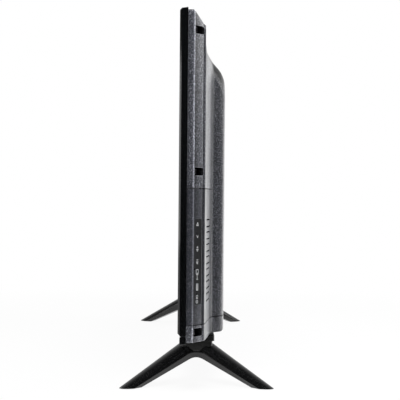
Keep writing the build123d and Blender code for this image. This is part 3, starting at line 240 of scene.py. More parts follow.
world = bpy.data.worlds.new("studio")
bpy.context.scene.world = world
world.use_nodes = True
tree = world.node_tree
tree.nodes.clear()
direction = add_node(tree, "ShaderNodeTexCoord", (-4, 0)).outputs["Generated"]
parts = add_node(tree, "ShaderNodeSeparateXYZ", (-3, 0), Vector=direction)
fade = remap(tree, (-2, 0), parts.outputs["X"], *STUDIO_FADE, STUDIO_BRIGHT, STUDIO_DARK, smooth=True)
toward = measure(tree, (-3, -2), "DOT_PRODUCT", direction, GLOW_TOWARD)
glow = remap(tree, (-2, -2), toward, *GLOW_WIDTH, 0, STUDIO_GLOW, smooth=True)
ray = add_node(tree, "ShaderNodeLightPath", (-2, 2))
level = add_node(tree, "ShaderNodeMix", (-1, 0), data_type="FLOAT", Factor=ray.outputs["Is Camera Ray"])
feed(tree, level.inputs["A"], maths(tree, (-1, -1), "ADD", fade, glow))
feed(tree, level.inputs["B"], 1)
sky = add_node(tree, "ShaderNodeBackground", (0, 0), Color=WHITE_LIGHT, Strength=level.outputs[0])
add_node(tree, "ShaderNodeOutputWorld", (1, 0), Surface=sky.outputs[0])
bpy.context.scene.view_settings.view_transform = "Standard"
print("world: from", STUDIO_DARK, "round the camera to", STUDIO_BRIGHT, "behind the set")

# %% [markdown]
# ## The lamps
# Three soft boxes do the rest. Spot lamps would leave hard shadows, so each is a wide rectangle.
# The one over the keys lights the side but isn't mirrored, since its image would make the feet
# sparkle. The one behind lights the slope, and the small one in front draws a thin line of light
# on the chamfer of the frame.

# %% Lamps
LAMPS = {
    "lamp_overhead": ((1.0, 0.0, 1.8), (0.3, 0, 0.25), (1.2, 1.0), 38),
    "lamp_rear": ((-0.2, 1.8, 1.25), (0.3, 0, 0.36), (1.2, 1.0), 16),
    "lamp_front": ((0.25, -1.25, 0.38), (0.36, 0, 0.36), (0.5, 0.5), 2.3),
}


def soft_box(name, place, target, size, power):
    """An area lamp that points at a spot."""
    data = bpy.data.lights.new(name, "AREA")
    data.shape = "RECTANGLE"
    data.size, data.size_y = size
    data.energy = power
    lamp = bpy.data.objects.new(name, data)
    bpy.context.scene.collection.objects.link(lamp)
    lamp.location = place
    lamp.rotation_euler = (Vector(target) - Vector(place)).to_track_quat("-Z", "Y").to_euler()
    return lamp


lamps = {name: soft_box(name, *values) for name, values in LAMPS.items()}
lamps["lamp_overhead"].visible_glossy = False
print("soft boxes:", len(lamps))

# %% [markdown]
# ## Shared surface effects
# Moulded plastic is never quite even. Its tool is etched, which leaves a fine grain, and its edges
# are rounded by a few tenths of a millimetre. Several finishes need the same effect with other
# values, so each effect is a node group with named inputs. A texture picture could carry the grain
# too, but noise in Object coordinates needs no unwrapping and has the same size on every piece.

# %% Grain of moulded plastic
PATCHES_PER_METRE = 38


def new_group(name, inputs, outputs):
    """A shader node group with float inputs and the outputs that are asked for."""
    group = bpy.data.node_groups.new(name, "ShaderNodeTree")
    for title, value in inputs.items():
        socket = group.interface.new_socket(title, in_out="INPUT", socket_type="NodeSocketFloat")
        socket.default_value = value
    for title, kind in outputs.items():
        group.interface.new_socket(title, in_out="OUTPUT", socket_type=kind)
    source = group.nodes.new("NodeGroupInput")
    target = group.nodes.new("NodeGroupOutput")
    source.location, target.location = (-900, 0), (900, 0)
    return group, source.outputs, target.inputs


def make_grain_group():
    """Bumps and a mask of the grain's tips, and broad patches for an uneven shine."""
    group, given, result = new_group(
        "mould_grain",
        {"Grains per metre": 1200, "Depth": 0.0001, "Edge radius": 0.0004, "Low": 0.4, "High": 0.6},
        {"Speckle": "NodeSocketFloat", "Patches": "NodeSocketFloat", "Normal": "NodeSocketVector"},
    )
    where = add_node(group, "ShaderNodeTexCoord", (-4, -2)).outputs["Object"]
    grain = add_node(group, "ShaderNodeTexNoise", (-3, 0), Vector=where, Scale=given["Grains per metre"],
                     Detail=3, Roughness=0.65)
    speckle = remap(group, (-1, 1), grain.outputs[0], given["Low"], given["High"])
    patches = add_node(group, "ShaderNodeTexNoise", (-3, -2), Vector=where, Scale=PATCHES_PER_METRE,
                       Detail=4)
    rounded = add_node(group, "ShaderNodeBevel", (0, -2), samples=4, Radius=given["Edge radius"])
    bump = add_node(group, "ShaderNodeBump", (1, 0), Strength=1, Distance=given["Depth"],
                    Height=grain.outputs[0], Normal=rounded.outputs[0])
    join(group, speckle, result["Speckle"])
    join(group, patches.outputs[0], result["Patches"])
    join(group, bump.outputs[0], result["Normal"])
    return group


grain_group = make_grain_group()
print("group:", grain_group.name)

# %% [markdown]
# ## Painted edge highlights and dust
# Edges get a painted highlight, a lighter colour that stands in for the light their rounding
# catches, and dust settles on what faces up. Both could be drawn into a texture, but they follow
# from the shape alone. Where the Bevel node's rounded normal leaves the real one there is an edge,
# and where a normal points up there is a place for dust, which a noise breaks up into motes.

# %% Masks of painted edge highlights and of dust
DUST_UPWARD = 0.2
MOTE_LEVELS = (0.5, 0.75)


def make_edge_highlight_group():
    """Mask of the painted edge highlight: 1 on an edge and 0 on a flat face."""
    group, given, result = new_group("painted_edge_highlight", {"Radius": 0.0008, "Strength": 6.0},
                                     {"Mask": "NodeSocketFloat"})
    shape = add_node(group, "ShaderNodeNewGeometry", (-4, 0))
    rounded = add_node(group, "ShaderNodeBevel", (-3, -1), samples=6, Radius=given["Radius"])
    same = measure(group, (-2, 0), "DOT_PRODUCT", shape.outputs["Normal"], rounded.outputs[0])
    turned = maths(group, (-1, 0), "SUBTRACT", 1, same)
    mask = maths(group, (0, 0), "MULTIPLY", turned, given["Strength"], use_clamp=True)
    join(group, mask, result["Mask"])
    return group


def make_dust_group():
    """Motes on the faces that look up."""
    group, given, result = new_group("settled_dust", {"Amount": 0.3, "Motes per metre": 900},
                                     {"Mask": "NodeSocketFloat"})
    shape = add_node(group, "ShaderNodeNewGeometry", (-4, 1))
    parts = add_node(group, "ShaderNodeSeparateXYZ", (-3, 1), Vector=shape.outputs["Normal"])
    upward = remap(group, (-2, 1), parts.outputs["Z"], DUST_UPWARD, 1)
    where = add_node(group, "ShaderNodeTexCoord", (-4, -1)).outputs["Object"]
    motes = add_node(group, "ShaderNodeTexNoise", (-3, -1), Vector=where,
                     Scale=given["Motes per metre"], Detail=2)
    sparse = remap(group, (-2, -1), motes.outputs[0], *MOTE_LEVELS)
    both = maths(group, (-1, 0), "MULTIPLY", upward, sparse)
    join(group, maths(group, (0, 0), "MULTIPLY", both, given["Amount"], use_clamp=True), result["Mask"])
    return group


edge_highlight_group = make_edge_highlight_group()
dust_group = make_dust_group()
print("groups:", edge_highlight_group.name, dust_group.name)

# %% [markdown]
# ## Painted light and shade along the depth
# Seen from the side, the cover is a row of upright bands: the wall behind the frame, a ridge with a
# light line, the sloped rim, a fine step and the slope of the swelling. The photograph's studio
# gives each band its own light. Many small lamps could copy that, but they would have to be guessed
# one by one and would spoil other views. So that light is painted: a group puts out a factor for the
# colour and the shine at each depth in millimetres, from a colour ramp, and the ridge's light line is
# a painted highlight. The same group paints shade where light hardly reaches: on the seams, the walls
# of pockets and slots and in deep corners. It also paints shade on the top of the swelling, which the
# lamp overhead would otherwise light too brightly.

# %% What the painted light along the depth is made of
FRONT_Y = -26 * MM
# Painted light and shade at each depth in millimetres, as factors for the colour: the stops at 18.6 and
# 19.6 mm paint the highlight on the ridge, the stops near 31 and 41 mm paint the light on the rim and the
# slope, and the low stops from 46 mm paint the shade on the wall of the swelling.
PAINTED_LIGHT_STOPS = (
    (12, 2.4), (13.5, 1.8), (17.9, 1.5), (18.6, 5.0), (19.6, 5.0), (20.3, 0.6), (30.5, 2.0),
    (31.2, 1.9), (33, 0.85), (34.5, 1.0), (38.5, 1.5), (40.5, 2.1), (42, 1.9), (44, 1.35),
    (46, 0.88), (48, 0.95), (58, 0.95), (62, 1.0), (64.6, 1.0),
)
GREATEST_PAINTED_LIGHT = 6.0
DEEPEST = PAINTED_LIGHT_STOPS[-1][0]
HALFWAY = 0.5


def add_painted_light_ramp(group, depth):
    """The painted light and shade of each depth, as a share of the greatest."""
    along = remap(group, (-2, 0), depth, FRONT_Y, FRONT_Y + DEEPEST * MM)
    ramp = add_node(group, "ShaderNodeValToRGB", (-1, 0), Fac=along)
    stops = ramp.color_ramp.elements
    while len(stops) < len(PAINTED_LIGHT_STOPS):
        stops.new(HALFWAY)
    for stop, (millimetres, tone) in zip(stops, PAINTED_LIGHT_STOPS):
        stop.position = millimetres / DEEPEST
        stop.color = (tone / GREATEST_PAINTED_LIGHT, tone / GREATEST_PAINTED_LIGHT, tone / GREATEST_PAINTED_LIGHT, 1)
    return ramp.outputs["Color"]


print("tones:", len(PAINTED_LIGHT_STOPS), "down to a depth of", DEEPEST, "mm")

# %% Painted shade on seams, hollows and the top
# Where painted shade falls, and the factor it darkens to: the seams, the walls of hollows and the top of
# the swelling.
SEAM_HEIGHT, INSERT_SEAM_HEIGHT, INSERT_START = 88.9 * MM, 265.7 * MM, 281.3 * MM
SEAM_EDGES = (0.68 * MM, 1.02 * MM)
SEAM_PAINTED_SHADE = 0.2
HOLLOW_DEPTHS = (20.2 * MM, 58 * MM)
HOLLOW_BOTTOM = 72 * MM
HOLLOW_PAINTED_SHADE = 0.12
REAR_FACING = 0.3
TOP_DEPTHS = (35 * MM, 43 * MM)
TOP_FACING = 0.28
TOP_PAINTED_SHADE = 0.16


def add_seam_shade(group, along):
    """Painted shade in lines over the lower strip, and round the insert that holds the keys."""
    over_lower = maths(group, (-2, -5), "SUBTRACT", along["Z"], SEAM_HEIGHT)
    over_upper = maths(group, (-2, -6), "SUBTRACT", along["Z"], INSERT_SEAM_HEIGHT)
    lower = maths(group, (-1, -5), "ABSOLUTE", over_lower)
    upper = maths(group, (-1, -6), "ABSOLUTE", over_upper)
    inward = maths(group, (-1, -7), "SUBTRACT", INSERT_START, along["X"])
    beside_insert = maths(group, (0, -6), "MAXIMUM", upper, inward)
    nearest = maths(group, (1, -6), "MINIMUM", lower, beside_insert)
    return remap(group, (2, -5), nearest, *SEAM_EDGES, SEAM_PAINTED_SHADE, 1)


def add_hollow_shade(group, along, facing):
    """Painted shade on the walls of pockets and slots: whatever lies between two depths and doesn't face
    back.
    """
    inside = maths(group, (-2, -8), "LESS_THAN", facing["Y"], REAR_FACING)
    limits = ((along["Y"], "GREATER_THAN", FRONT_Y + HOLLOW_DEPTHS[0]),
              (along["Y"], "LESS_THAN", FRONT_Y + HOLLOW_DEPTHS[1]),
              (along["Z"], "GREATER_THAN", HOLLOW_BOTTOM))
    for place, (value, operation, limit) in enumerate(limits):
        test = maths(group, (-1 + place, -9), operation, value, limit)
        inside = maths(group, (-1 + place, -8), "MULTIPLY", inside, test)
    return remap(group, (2, -8), inside, 0, 1, 1, HOLLOW_PAINTED_SHADE)


def add_top_shade(group, along, facing):
    """Painted shade on the top of the swelling, where a lamp would bleach it."""
    upward = remap(group, (-2, -11), facing["Z"], 0, TOP_FACING, smooth=True)
    deep = remap(group, (-2, -12), along["Y"], *[FRONT_Y + depth for depth in TOP_DEPTHS], smooth=True)
    topside = maths(group, (-1, -11), "MULTIPLY", upward, deep)
    return remap(group, (0, -11), topside, 0, 1, 1, TOP_PAINTED_SHADE)


print("seam heights in metres:", SEAM_HEIGHT, INSERT_SEAM_HEIGHT)

# %% Put the depth tones together
CORNER_SHADE_POWER = 2


def make_painted_light_group():
    """Painted light and shade, as a factor for the colour and the shine. With a share of 0 it is 1
    everywhere.
    """
    group, given, result = new_group("painted_depth_light", {"Share": 1.0, "Hollow reach": 0.018},
                                     {"Tone": "NodeSocketFloat"})
    where = add_node(group, "ShaderNodeTexCoord", (-4, 0)).outputs["Object"]
    along = add_node(group, "ShaderNodeSeparateXYZ", (-3, 0), Vector=where).outputs
    shape = add_node(group, "ShaderNodeNewGeometry", (-4, -7))
    facing = add_node(group, "ShaderNodeSeparateXYZ", (-3, -7), Vector=shape.outputs["True Normal"]).outputs
    # Painted shade in deep corners, from ambient occlusion.
    corners = add_node(group, "ShaderNodeAmbientOcclusion", (-1, -2), samples=4,
                       Distance=given["Hollow reach"])
    tone = maths(group, (-1, -3), "POWER", corners.outputs["AO"], CORNER_SHADE_POWER)
    shares = (add_seam_shade(group, along), add_hollow_shade(group, along, facing),
              add_top_shade(group, along, facing), add_painted_light_ramp(group, along["Y"]))
    for place, share in enumerate(shares):
        tone = maths(group, (place, -3), "MULTIPLY", tone, share)
    change = maths(group, (4, -3), "MULTIPLY_ADD", tone, GREATEST_PAINTED_LIGHT, -1)
    join(group, maths(group, (5, -3), "MULTIPLY_ADD", change, given["Share"], 1), result["Tone"])
    return group


painted_light_group = make_painted_light_group()
print("group:", painted_light_group.name)

# %% [markdown]
# ## One recipe for the moulded finishes
# Cover, insert, frame and feet are all black plastic. What tells them apart is how coarse the
# grain is, how rough it leaves the surface and how much lighter the grain's tips are. Copies of one
# tree would drift apart, so one function lays down the recipe, and each finish is a row of values.
# Values that are the same all over a surface are typed on the shader's own sockets, where they
# stay readable and survive an export.

# %% Recipe
DUST_COLOUR = (0.32, 0.31, 0.29)
EDGE_HIGHLIGHT_STRENGTH = 5.0
PATCH_LEVELS = (0.3, 0.7)
PLAIN_SHINE = 0.5


def plastic(name, colour, roughness, **sockets):
    """A new material with its Principled shader, for every finish and not only plastics."""
    material = bpy.data.materials.new(name)
    material.use_nodes = True
    tree = material.node_tree
    shader = tree.nodes["Principled BSDF"]
    shader.inputs["Base Color"].default_value = (*colour, 1)
    shader.inputs["Roughness"].default_value = roughness
    for word, value in sockets.items():
        shader.inputs[word.replace("_", " ").title()].default_value = value
    return material, tree, shader


def place_group(tree, group, place=(0, 0), **values):
    """A copy of a shared group in a material, with its own values. It gives back its outputs."""
    made = add_node(tree, "ShaderNodeGroup", place, node_tree=group)
    for word, value in values.items():
        made.inputs[word.replace("_", " ").capitalize()].default_value = value
    return made.outputs


def moulded(name, dark, light, roughness, uneven, grains, depth, edge, edge_highlight_colour,
            dust=0.2, low=0.4, high=0.6, along=0.0):
    """A moulded plastic: two shades mixed by its grain, painted highlights on the edges, a little dust and,
    as far as along asks, painted light and shade by depth.
    """
    material, tree, shader = plastic(name, dark, roughness)
    grain = place_group(tree, grain_group, (-5, 0), grains_per_metre=grains, depth=depth,
                        edge_radius=edge, low=low, high=high)
    # Painted highlight on the edges, mixed into the colour below.
    edge_highlight_mask = place_group(tree, edge_highlight_group, (-5, 2), radius=edge * 2, strength=EDGE_HIGHLIGHT_STRENGTH)
    motes = place_group(tree, dust_group, (-5, 4), amount=dust)
    # Painted light and shade along the depth, in seams, hollows and corners and on the top of the swelling:
    # it scales the colour.
    tone = place_group(tree, painted_light_group, (-2, 3), share=along)["Tone"]
    speckled = blend(tree, (-3, 1), grain["Speckle"], dark, light)
    with_edge_highlight = blend(tree, (-2, 1), edge_highlight_mask["Mask"], speckled, edge_highlight_colour)
    dusty = blend(tree, (-1, 1), motes["Mask"], with_edge_highlight, DUST_COLOUR)
    with_painted_light = add_node(tree, "ShaderNodeVectorMath", (0, 2), operation="SCALE", Scale=tone)
    join(tree, dusty, with_painted_light.inputs[0])
    join(tree, with_painted_light.outputs[0], shader.inputs["Base Color"])
    # Where along is set, the painted light and shade also scales the shine.
    if along:
        join(tree, maths(tree, (0, 3), "MULTIPLY", tone, PLAIN_SHINE), shader.inputs["Specular IOR Level"])
    rough = remap(tree, (-2, -1), grain["Patches"], *PATCH_LEVELS, roughness - uneven, roughness + uneven)
    join(tree, rough, shader.inputs["Roughness"])
    join(tree, grain["Normal"], shader.inputs["Normal"])
    return material


print("shine of a plain plastic:", PLAIN_SHINE)

# %% Moulded finishes
# In each row: the dark and the light shade, the roughness and how far it varies, the grains per
# metre and their depth, the radius of the edges and the colour of their painted highlight, then what
# else is special, such as along, the share of painted light and shade by depth.
MOULDED = {
    "gloss_black": ((0.0022, 0.0025, 0.003), (0.0028, 0.0031, 0.0036), 0.13, 0.02,
                    300, 0.000002, 0.0003, (0.02, 0.022, 0.025), {}),
    "grained_cover": ((0.02, 0.021, 0.026), (0.17, 0.175, 0.2), 0.34, 0.03,
                      600, 0.00012, 0.0006, (0.34, 0.34, 0.37), {"low": 0.51, "along": 1.0}),
    "satin_insert": ((0.019, 0.02, 0.025), (0.084, 0.087, 0.103), 0.32, 0.03,
                     620, 0.00005, 0.0005, (0.14, 0.14, 0.15), {"low": 0.5, "high": 0.64, "along": 0.9}),
    "foot_black": ((0.004, 0.0042, 0.0045), (0.006, 0.0062, 0.0065), 0.22, 0.02,
                   300, 0.000001, 0.0006, (0.02, 0.02, 0.02), {"dust": 0.02}),
    "black_moulding": ((0.012, 0.012, 0.013), (0.02, 0.02, 0.021), 0.45, 0.05,
                       1800, 0.00002, 0.0002, (0.04, 0.04, 0.04), {}),
    "label_strip": ((0.008, 0.0085, 0.01), (0.012, 0.0125, 0.014), 0.3, 0.03,
                    1500, 0.00001, 0.0002, (0.03, 0.03, 0.03), {}),
    "pad_rubber": ((0.02, 0.02, 0.02), (0.03, 0.03, 0.03), 0.8, 0.05,
                   1500, 0.00005, 0.0003, (0.03, 0.03, 0.03), {}),
}
finishes = {name: moulded(name, *values, **extra) for name, (*values, extra) in MOULDED.items()}
print("moulded finishes:", len(finishes))

# %% [markdown]
# ## Glass, screen and window
# The screen is a sheet of glass with a faintly etched film, so it mirrors a lamp as a soft patch.
# Behind the film the picture area is a touch greyer than the black border that the panel has all
# round. A second material could be given to the faces of the picture area, but the front is one
# face, so a mask of its distance from the panel's middle draws the border instead. The receiver's
# window is dark red acrylic, which looks black until light falls through it.

# %% Screen and receiver window
PANEL_BORDER = 11 * MM
BORDER_BLACK = (0.003, 0.003, 0.0035)
PICTURE_BLACK = (0.010, 0.011, 0.014)
SCREEN_BLACK = (0.008, 0.009, 0.011)
WINDOW_RED = (0.03, 0.004, 0.006)


def make_panel_area_group():
    """Puts out 1 in the picture area and 0 on the border, from the panel's own box."""
    low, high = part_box("lcd_panel")
    group, given, result = new_group("picture_area", {"Border": 0.01}, {"Mask": "NodeSocketFloat"})
    where = add_node(group, "ShaderNodeTexCoord", (-5, 0)).outputs["Object"]
    along = add_node(group, "ShaderNodeSeparateXYZ", (-4, 0), Vector=where).outputs
    masks = []
    for axis, start, end in (("X", low.x, high.x), ("Z", low.z, high.z)):
        row = len(masks) * 2
        distance = maths(group, (-2, row), "ABSOLUTE",
                         maths(group, (-3, row), "SUBTRACT", along[axis], (start + end) / 2))
        edge = maths(group, (-2, row + 1), "SUBTRACT", (end - start) / 2, given["Border"])
        masks.append(maths(group, (-1, row), "LESS_THAN", distance, edge))
    join(group, maths(group, (0, 0), "MULTIPLY", *masks), result["Mask"])
    return group


panel_area_group = make_panel_area_group()
screen, tree, shader = plastic("screen_glass", SCREEN_BLACK, 0.2, coat_weight=0.25, coat_roughness=0.12)
area = place_group(tree, panel_area_group, (-4, 1), border=PANEL_BORDER)
join(tree, blend(tree, (-2, 1), area["Mask"], BORDER_BLACK, PICTURE_BLACK), shader.inputs["Base Color"])
etched = place_group(tree, grain_group, (-4, -1), grains_per_metre=2500, depth=0.000004, edge_radius=0.0002)
join(tree, etched["Normal"], shader.inputs["Normal"])

window, tree, shader = plastic("smoked_window", WINDOW_RED, 0.06, coat_weight=0.4, coat_roughness=0.03)
haze = place_group(tree, grain_group, (-4, 0), grains_per_metre=400, depth=0.000003, edge_radius=0.0002)
join(tree, haze["Normal"], shader.inputs["Normal"])
finishes.update({"screen_glass": screen, "smoked_window": window})
print("screen and window finished")

# %% [markdown]
# ## What is inside
# With the covers off, the set shows zinc plated steel, white sheets, green boards and their parts.
# None of it is in the photograph, but each piece still needs a finish of its own, so that the part
# reads well when it is opened. The recipe of the mouldings would be more than they need. A shorter
# one is enough: two colours, a pattern that mixes them and the roughness that tells metal from
# paper.

# %% A recipe for the inside
RELIEF_GRAINS, RELIEF_EDGE = 1500, 0.0003


def patterned(name, dark, light, roughness, texture, scale, low=0.3, high=0.7, depth=0.00001, **sockets):
    """A finish of two colours that are mixed by a texture, with a light grain in its relief."""
    material, tree, shader = plastic(name, dark, roughness, **sockets)
    where = add_node(tree, "ShaderNodeTexCoord", (-5, 1)).outputs["Object"]
    figure = add_node(tree, texture, (-4, 1), Vector=where, Scale=scale)
    mask = remap(tree, (-3, 1), figure.outputs[0], low, high)
    join(tree, blend(tree, (-2, 1), mask, dark, light), shader.inputs["Base Color"])
    relief = place_group(tree, grain_group, (-4, -1), grains_per_metre=RELIEF_GRAINS, depth=depth,
                         edge_radius=RELIEF_EDGE)
    join(tree, relief["Normal"], shader.inputs["Normal"])
    return material


NOISE, CELLS = "ShaderNodeTexNoise", "ShaderNodeTexVoronoi"
print("patterns:", NOISE, CELLS)

# %% Steel, sheets, lenses and boards
# In each row: the two colours, the roughness, the pattern and its size, then what else is special.
PATTERNED = {
    "zinc_steel": ((0.52, 0.54, 0.56), (0.66, 0.67, 0.68), 0.38, CELLS, 90, {"metallic": 0.95}),
    "white_sheet": ((0.82, 0.83, 0.84), (0.88, 0.88, 0.88), 0.5, NOISE, 60, {}),
    "milky_sheet": ((0.78, 0.79, 0.8), (0.84, 0.84, 0.84), 0.4, NOISE, 25, {}),
    "white_strip": ((0.72, 0.72, 0.7), (0.8, 0.8, 0.78), 0.35, NOISE, 300, {}),
    "clear_lens": ((0.9, 0.92, 0.93), (0.97, 0.97, 0.97), 0.05, NOISE, 200, {"transmission_weight": 0.9}),
    "amber_film": ((0.42, 0.16, 0.02), (0.3, 0.09, 0.01), 0.25, NOISE, 120, {}),
    "paper_cone": ((0.02, 0.02, 0.022), (0.05, 0.048, 0.045), 0.85, NOISE, 900, {"depth": 0.00008}),
    "circuit_board": ((0.01, 0.09, 0.035), (0.03, 0.16, 0.06), 0.32, CELLS, 260,
                      {"low": 0.02, "high": 0.25}),
    "chip_black": ((0.02, 0.02, 0.022), (0.035, 0.035, 0.036), 0.55, NOISE, 700, {}),
    "capacitor_sleeve": ((0.01, 0.015, 0.045), (0.02, 0.03, 0.07), 0.3, NOISE, 80, {}),
    "ferrite": ((0.035, 0.034, 0.033), (0.3, 0.22, 0.03), 0.5, NOISE, 35, {"low": 0.52, "high": 0.56}),
    "nickel_shell": ((0.62, 0.6, 0.55), (0.74, 0.72, 0.67), 0.24, NOISE, 140, {"metallic": 1.0}),
    "black_screw": ((0.035, 0.036, 0.04), (0.09, 0.09, 0.095), 0.32, NOISE, 500, {"metallic": 0.85}),
    "lead_sleeve": ((0.35, 0.02, 0.02), (0.03, 0.03, 0.035), 0.4, NOISE, 22, {"low": 0.48, "high": 0.52}),
}
finishes.update({name: patterned(name, *values, **extra) for name, (*values, extra) in PATTERNED.items()})
print("finishes in all:", len(finishes))

# %% [markdown]
# ## Dress the solids
# Every solid comes with a material slot that has the name of its finish. The slots could be filled
# by hand, one object after the other, but a loop puts each finish in by its name and can't forget
# a piece.

# %% Dress the nodes
slots = {}
for name, node in nodes.items():
    slot = node.data.materials[0].name.split(".")[0]
    slots.setdefault(slot, []).append(name)
    if slot in finishes:
        for place in range(len(node.data.materials)):
            node.data.materials[place] = finishes[slot]
print({slot: len(names) for slot, names in slots.items()})

# %% [markdown]
# ## Signs beside the keys
# The keys themselves are plain tongues of the cover. What they do is printed on the dark strip
# next to them, in white, one small sign for each. Text objects would be the quick way, but signs
# are drawn here from short strokes, so each one is a few lines of points in millimetres: first
# along the height, then across the strip. Every stroke becomes a very flat bar that lies on the
# strip's face, which is found from the strip itself.

# %% The face of the marked strip
RIM_RISE, RIM_RUN = 12.0, 13.7
SIGN_ACROSS_SHARE = 0.46

strip = nodes["key_label_strip"].data
facing = Vector((RIM_RISE, RIM_RUN, 0)).normalized()
across = Vector((-RIM_RUN, RIM_RISE, 0)).normalized()
face_height = max(vertex.co.dot(facing) for vertex in strip.vertices)
across_low = min(vertex.co.dot(across) for vertex in strip.vertices)
across_high = max(vertex.co.dot(across) for vertex in strip.vertices)
sign_across = across_low + (across_high - across_low) * SIGN_ACROSS_SHARE
print("strip width in mm:", round((across_high - across_low) / MM, 2))

# %% Strokes of the signs
def arc_points(middle, radius, start, end, count=14):
    """Points on a part of a circle, from one angle to another in degrees."""
    turns = [math.radians(start + (end - start) * step / count) for step in range(count + 1)]
    return [(middle + radius * math.cos(turn), radius * math.sin(turn)) for turn in turns]


loudspeaker = [[(-2.6, -0.6), (-2.6, 0.6), (-1.4, 0.6), (-0.2, 1.7), (-0.2, -1.7), (-1.4, -0.6),
                (-2.6, -0.6)]]
signs = {
    "key_channel_up": [[(-1.6, -1.6), (1.6, 0), (-1.6, 1.6)], [(-2.4, -1.6), (-2.4, 1.6)]],
    "key_channel_down": [[(1.5, -1.6), (-1.5, 0), (1.5, 1.6)]],
    "key_volume_up": loudspeaker + [[(1.2, 0), (3.6, 0)], [(2.4, -1.2), (2.4, 1.2)]],
    "key_volume_down": loudspeaker + [[(2.4, -1.3), (2.4, 1.3)]],
    "key_source": [[(-6.4, 0), (1.6, 0)], [(-0.6, -1.5), (1.8, 0), (-0.6, 1.5)],
                   [(0.4, -2.1), (6.2, -2.1), (6.2, 2.1), (0.4, 2.1)], [(-6.4, -1.3), (-6.4, 1.3)]],
    "key_menu": [[(-4.3, shift), (4.3, shift)] for shift in (-1.5, 0, 1.5)],
    "key_power": [arc_points(-2.6, 1.9, 35, 325), [(-2.9, 0), (-0.2, 0)], [(1.6, -1.5), (1.6, 1.5)],
                  arc_points(4.2, 1.5, 0, 360)],
}
print("signs:", len(signs), "with", sum(len(strokes) for strokes in signs.values()), "strokes")

# %% Print the signs on the strip
STROKE = 0.62
INK_HEIGHT = 0.05
BAR_FACES = ((0, 1, 2, 3), (7, 6, 5, 4), (0, 4, 5, 1), (1, 5, 6, 2), (2, 6, 7, 3), (3, 7, 4, 0))


def add_stroke(mesh, start, end, height):
    """A flat bar with square ends between two points of a sign."""
    start, end = Vector(start), Vector(end)
    along = (end - start).normalized() * STROKE / 2
    side = Vector((-along.y, along.x))
    corners = []
    for level in (-INK_HEIGHT, INK_HEIGHT):
        for point, sign in ((start - along, 1), (end + along, 1), (end + along, -1), (start - along, -1)):
            spot = point + side * sign
            place = facing * (face_height + level * MM) + across * (sign_across + spot.y * MM)
            corners.append(mesh.verts.new(place + Vector((0, 0, height + spot.x * MM))))
    for face in BAR_FACES:
        mesh.faces.new([corners[number] for number in face])


def print_signs(name):
    """One mesh with every sign, each at the height of its key."""
    mesh = bmesh.new()
    for key, strokes in signs.items():
        key_low, key_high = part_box(key)
        height = (key_low.z + key_high.z) / 2
        for stroke in strokes:
            for start, end in zip(stroke, stroke[1:]):
                add_stroke(mesh, start, end, height)
    bmesh.ops.recalc_face_normals(mesh, faces=mesh.faces)
    data = bpy.data.meshes.new(name)
    mesh.to_mesh(data)
    mesh.free()
    made = bpy.data.objects.new(name, data)
    bpy.context.scene.collection.objects.link(made)
    return made


key_signs = print_signs("key_signs")
sign_ink = plastic("sign_ink", (0.75, 0.76, 0.78), 0.6)[0]
key_signs.data.materials.append(sign_ink)
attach(key_signs, "cabinet")
print("sign faces:", len(key_signs.data.polygons))

# %% [markdown]
# ## Pieces that repeat, grown with Geometry Nodes
# The back has two rows of air slots, and each slot has a fine rounded lip that its mould leaves.
# Ninety-two lips could be copied in a loop, but a node tree makes one lip and places it along a
# line, so that its count and pitch stay two numbers. The tree is built in the script with named
# inputs. The result is then turned into a plain mesh, since an export keeps meshes and drops the
# tree.

# %% Helpers that grow a piece from a tree
def new_growth(name, inputs):
    """A geometry tree with named inputs, its input node and its output node."""
    tree = bpy.data.node_groups.new(name, "GeometryNodeTree")
    tree.interface.new_socket("Geometry", in_out="INPUT", socket_type="NodeSocketGeometry")
    for title, value in inputs.items():
        kind = {int: "NodeSocketInt", float: "NodeSocketFloat", tuple: "NodeSocketVector"}[type(value)]
        tree.interface.new_socket(title, in_out="INPUT", socket_type=kind)
    tree.interface.new_socket("Geometry", in_out="OUTPUT", socket_type="NodeSocketGeometry")
    source = tree.nodes.new("NodeGroupInput")
    target = tree.nodes.new("NodeGroupOutput")
    source.location, target.location = (-1400, 0), (1200, 0)
    return tree, source.outputs, target


def close_growth(tree, shape, target, material):
    """Ends a tree in real faces that carry their material."""
    real = add_node(tree, "GeometryNodeRealizeInstances", (4, 0), Geometry=shape)
    painted = add_node(tree, "GeometryNodeSetMaterial", (5, 0), Geometry=real.outputs[0], Material=material)
    join(tree, painted.outputs[0], target.inputs[0])


def grow(name, tree, values, body):
    """Runs a tree with its values set by the sockets' identifiers, and keeps a plain mesh."""
    seed = bpy.data.objects.new(name + "_seed", bpy.data.meshes.new(name + "_seed"))
    bpy.context.scene.collection.objects.link(seed)
    modifier = seed.modifiers.new("growth", "NODES")
    modifier.node_group = tree
    for item in tree.interface.items_tree:
        if item.item_type == "SOCKET" and item.in_out == "INPUT" and item.name in values:
            modifier[item.identifier] = values[item.name]
    seed.update_tag()
    bpy.context.view_layer.update()
    grown = bpy.data.meshes.new_from_object(seed.evaluated_get(bpy.context.evaluated_depsgraph_get()))
    seed.modifiers.remove(modifier)
    bpy.data.objects.remove(seed)
    made = bpy.data.objects.new(name, grown)
    bpy.context.scene.collection.objects.link(made)
    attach(made, body)
    print(name, "faces:", len(grown.polygons))
    return made


print("growth helpers ready")

# %% Lips of the air slots
SLOT_COUNT, SLOT_PITCH, SLOT_WIDTH, SLOT_HEIGHT = 46, 7 * MM, 3 * MM, 14 * MM
SLOT_ROWS = (0.118, 0.392)
LIP_RADIUS = 0.35 * MM
FILLET_SHARE = 0.49

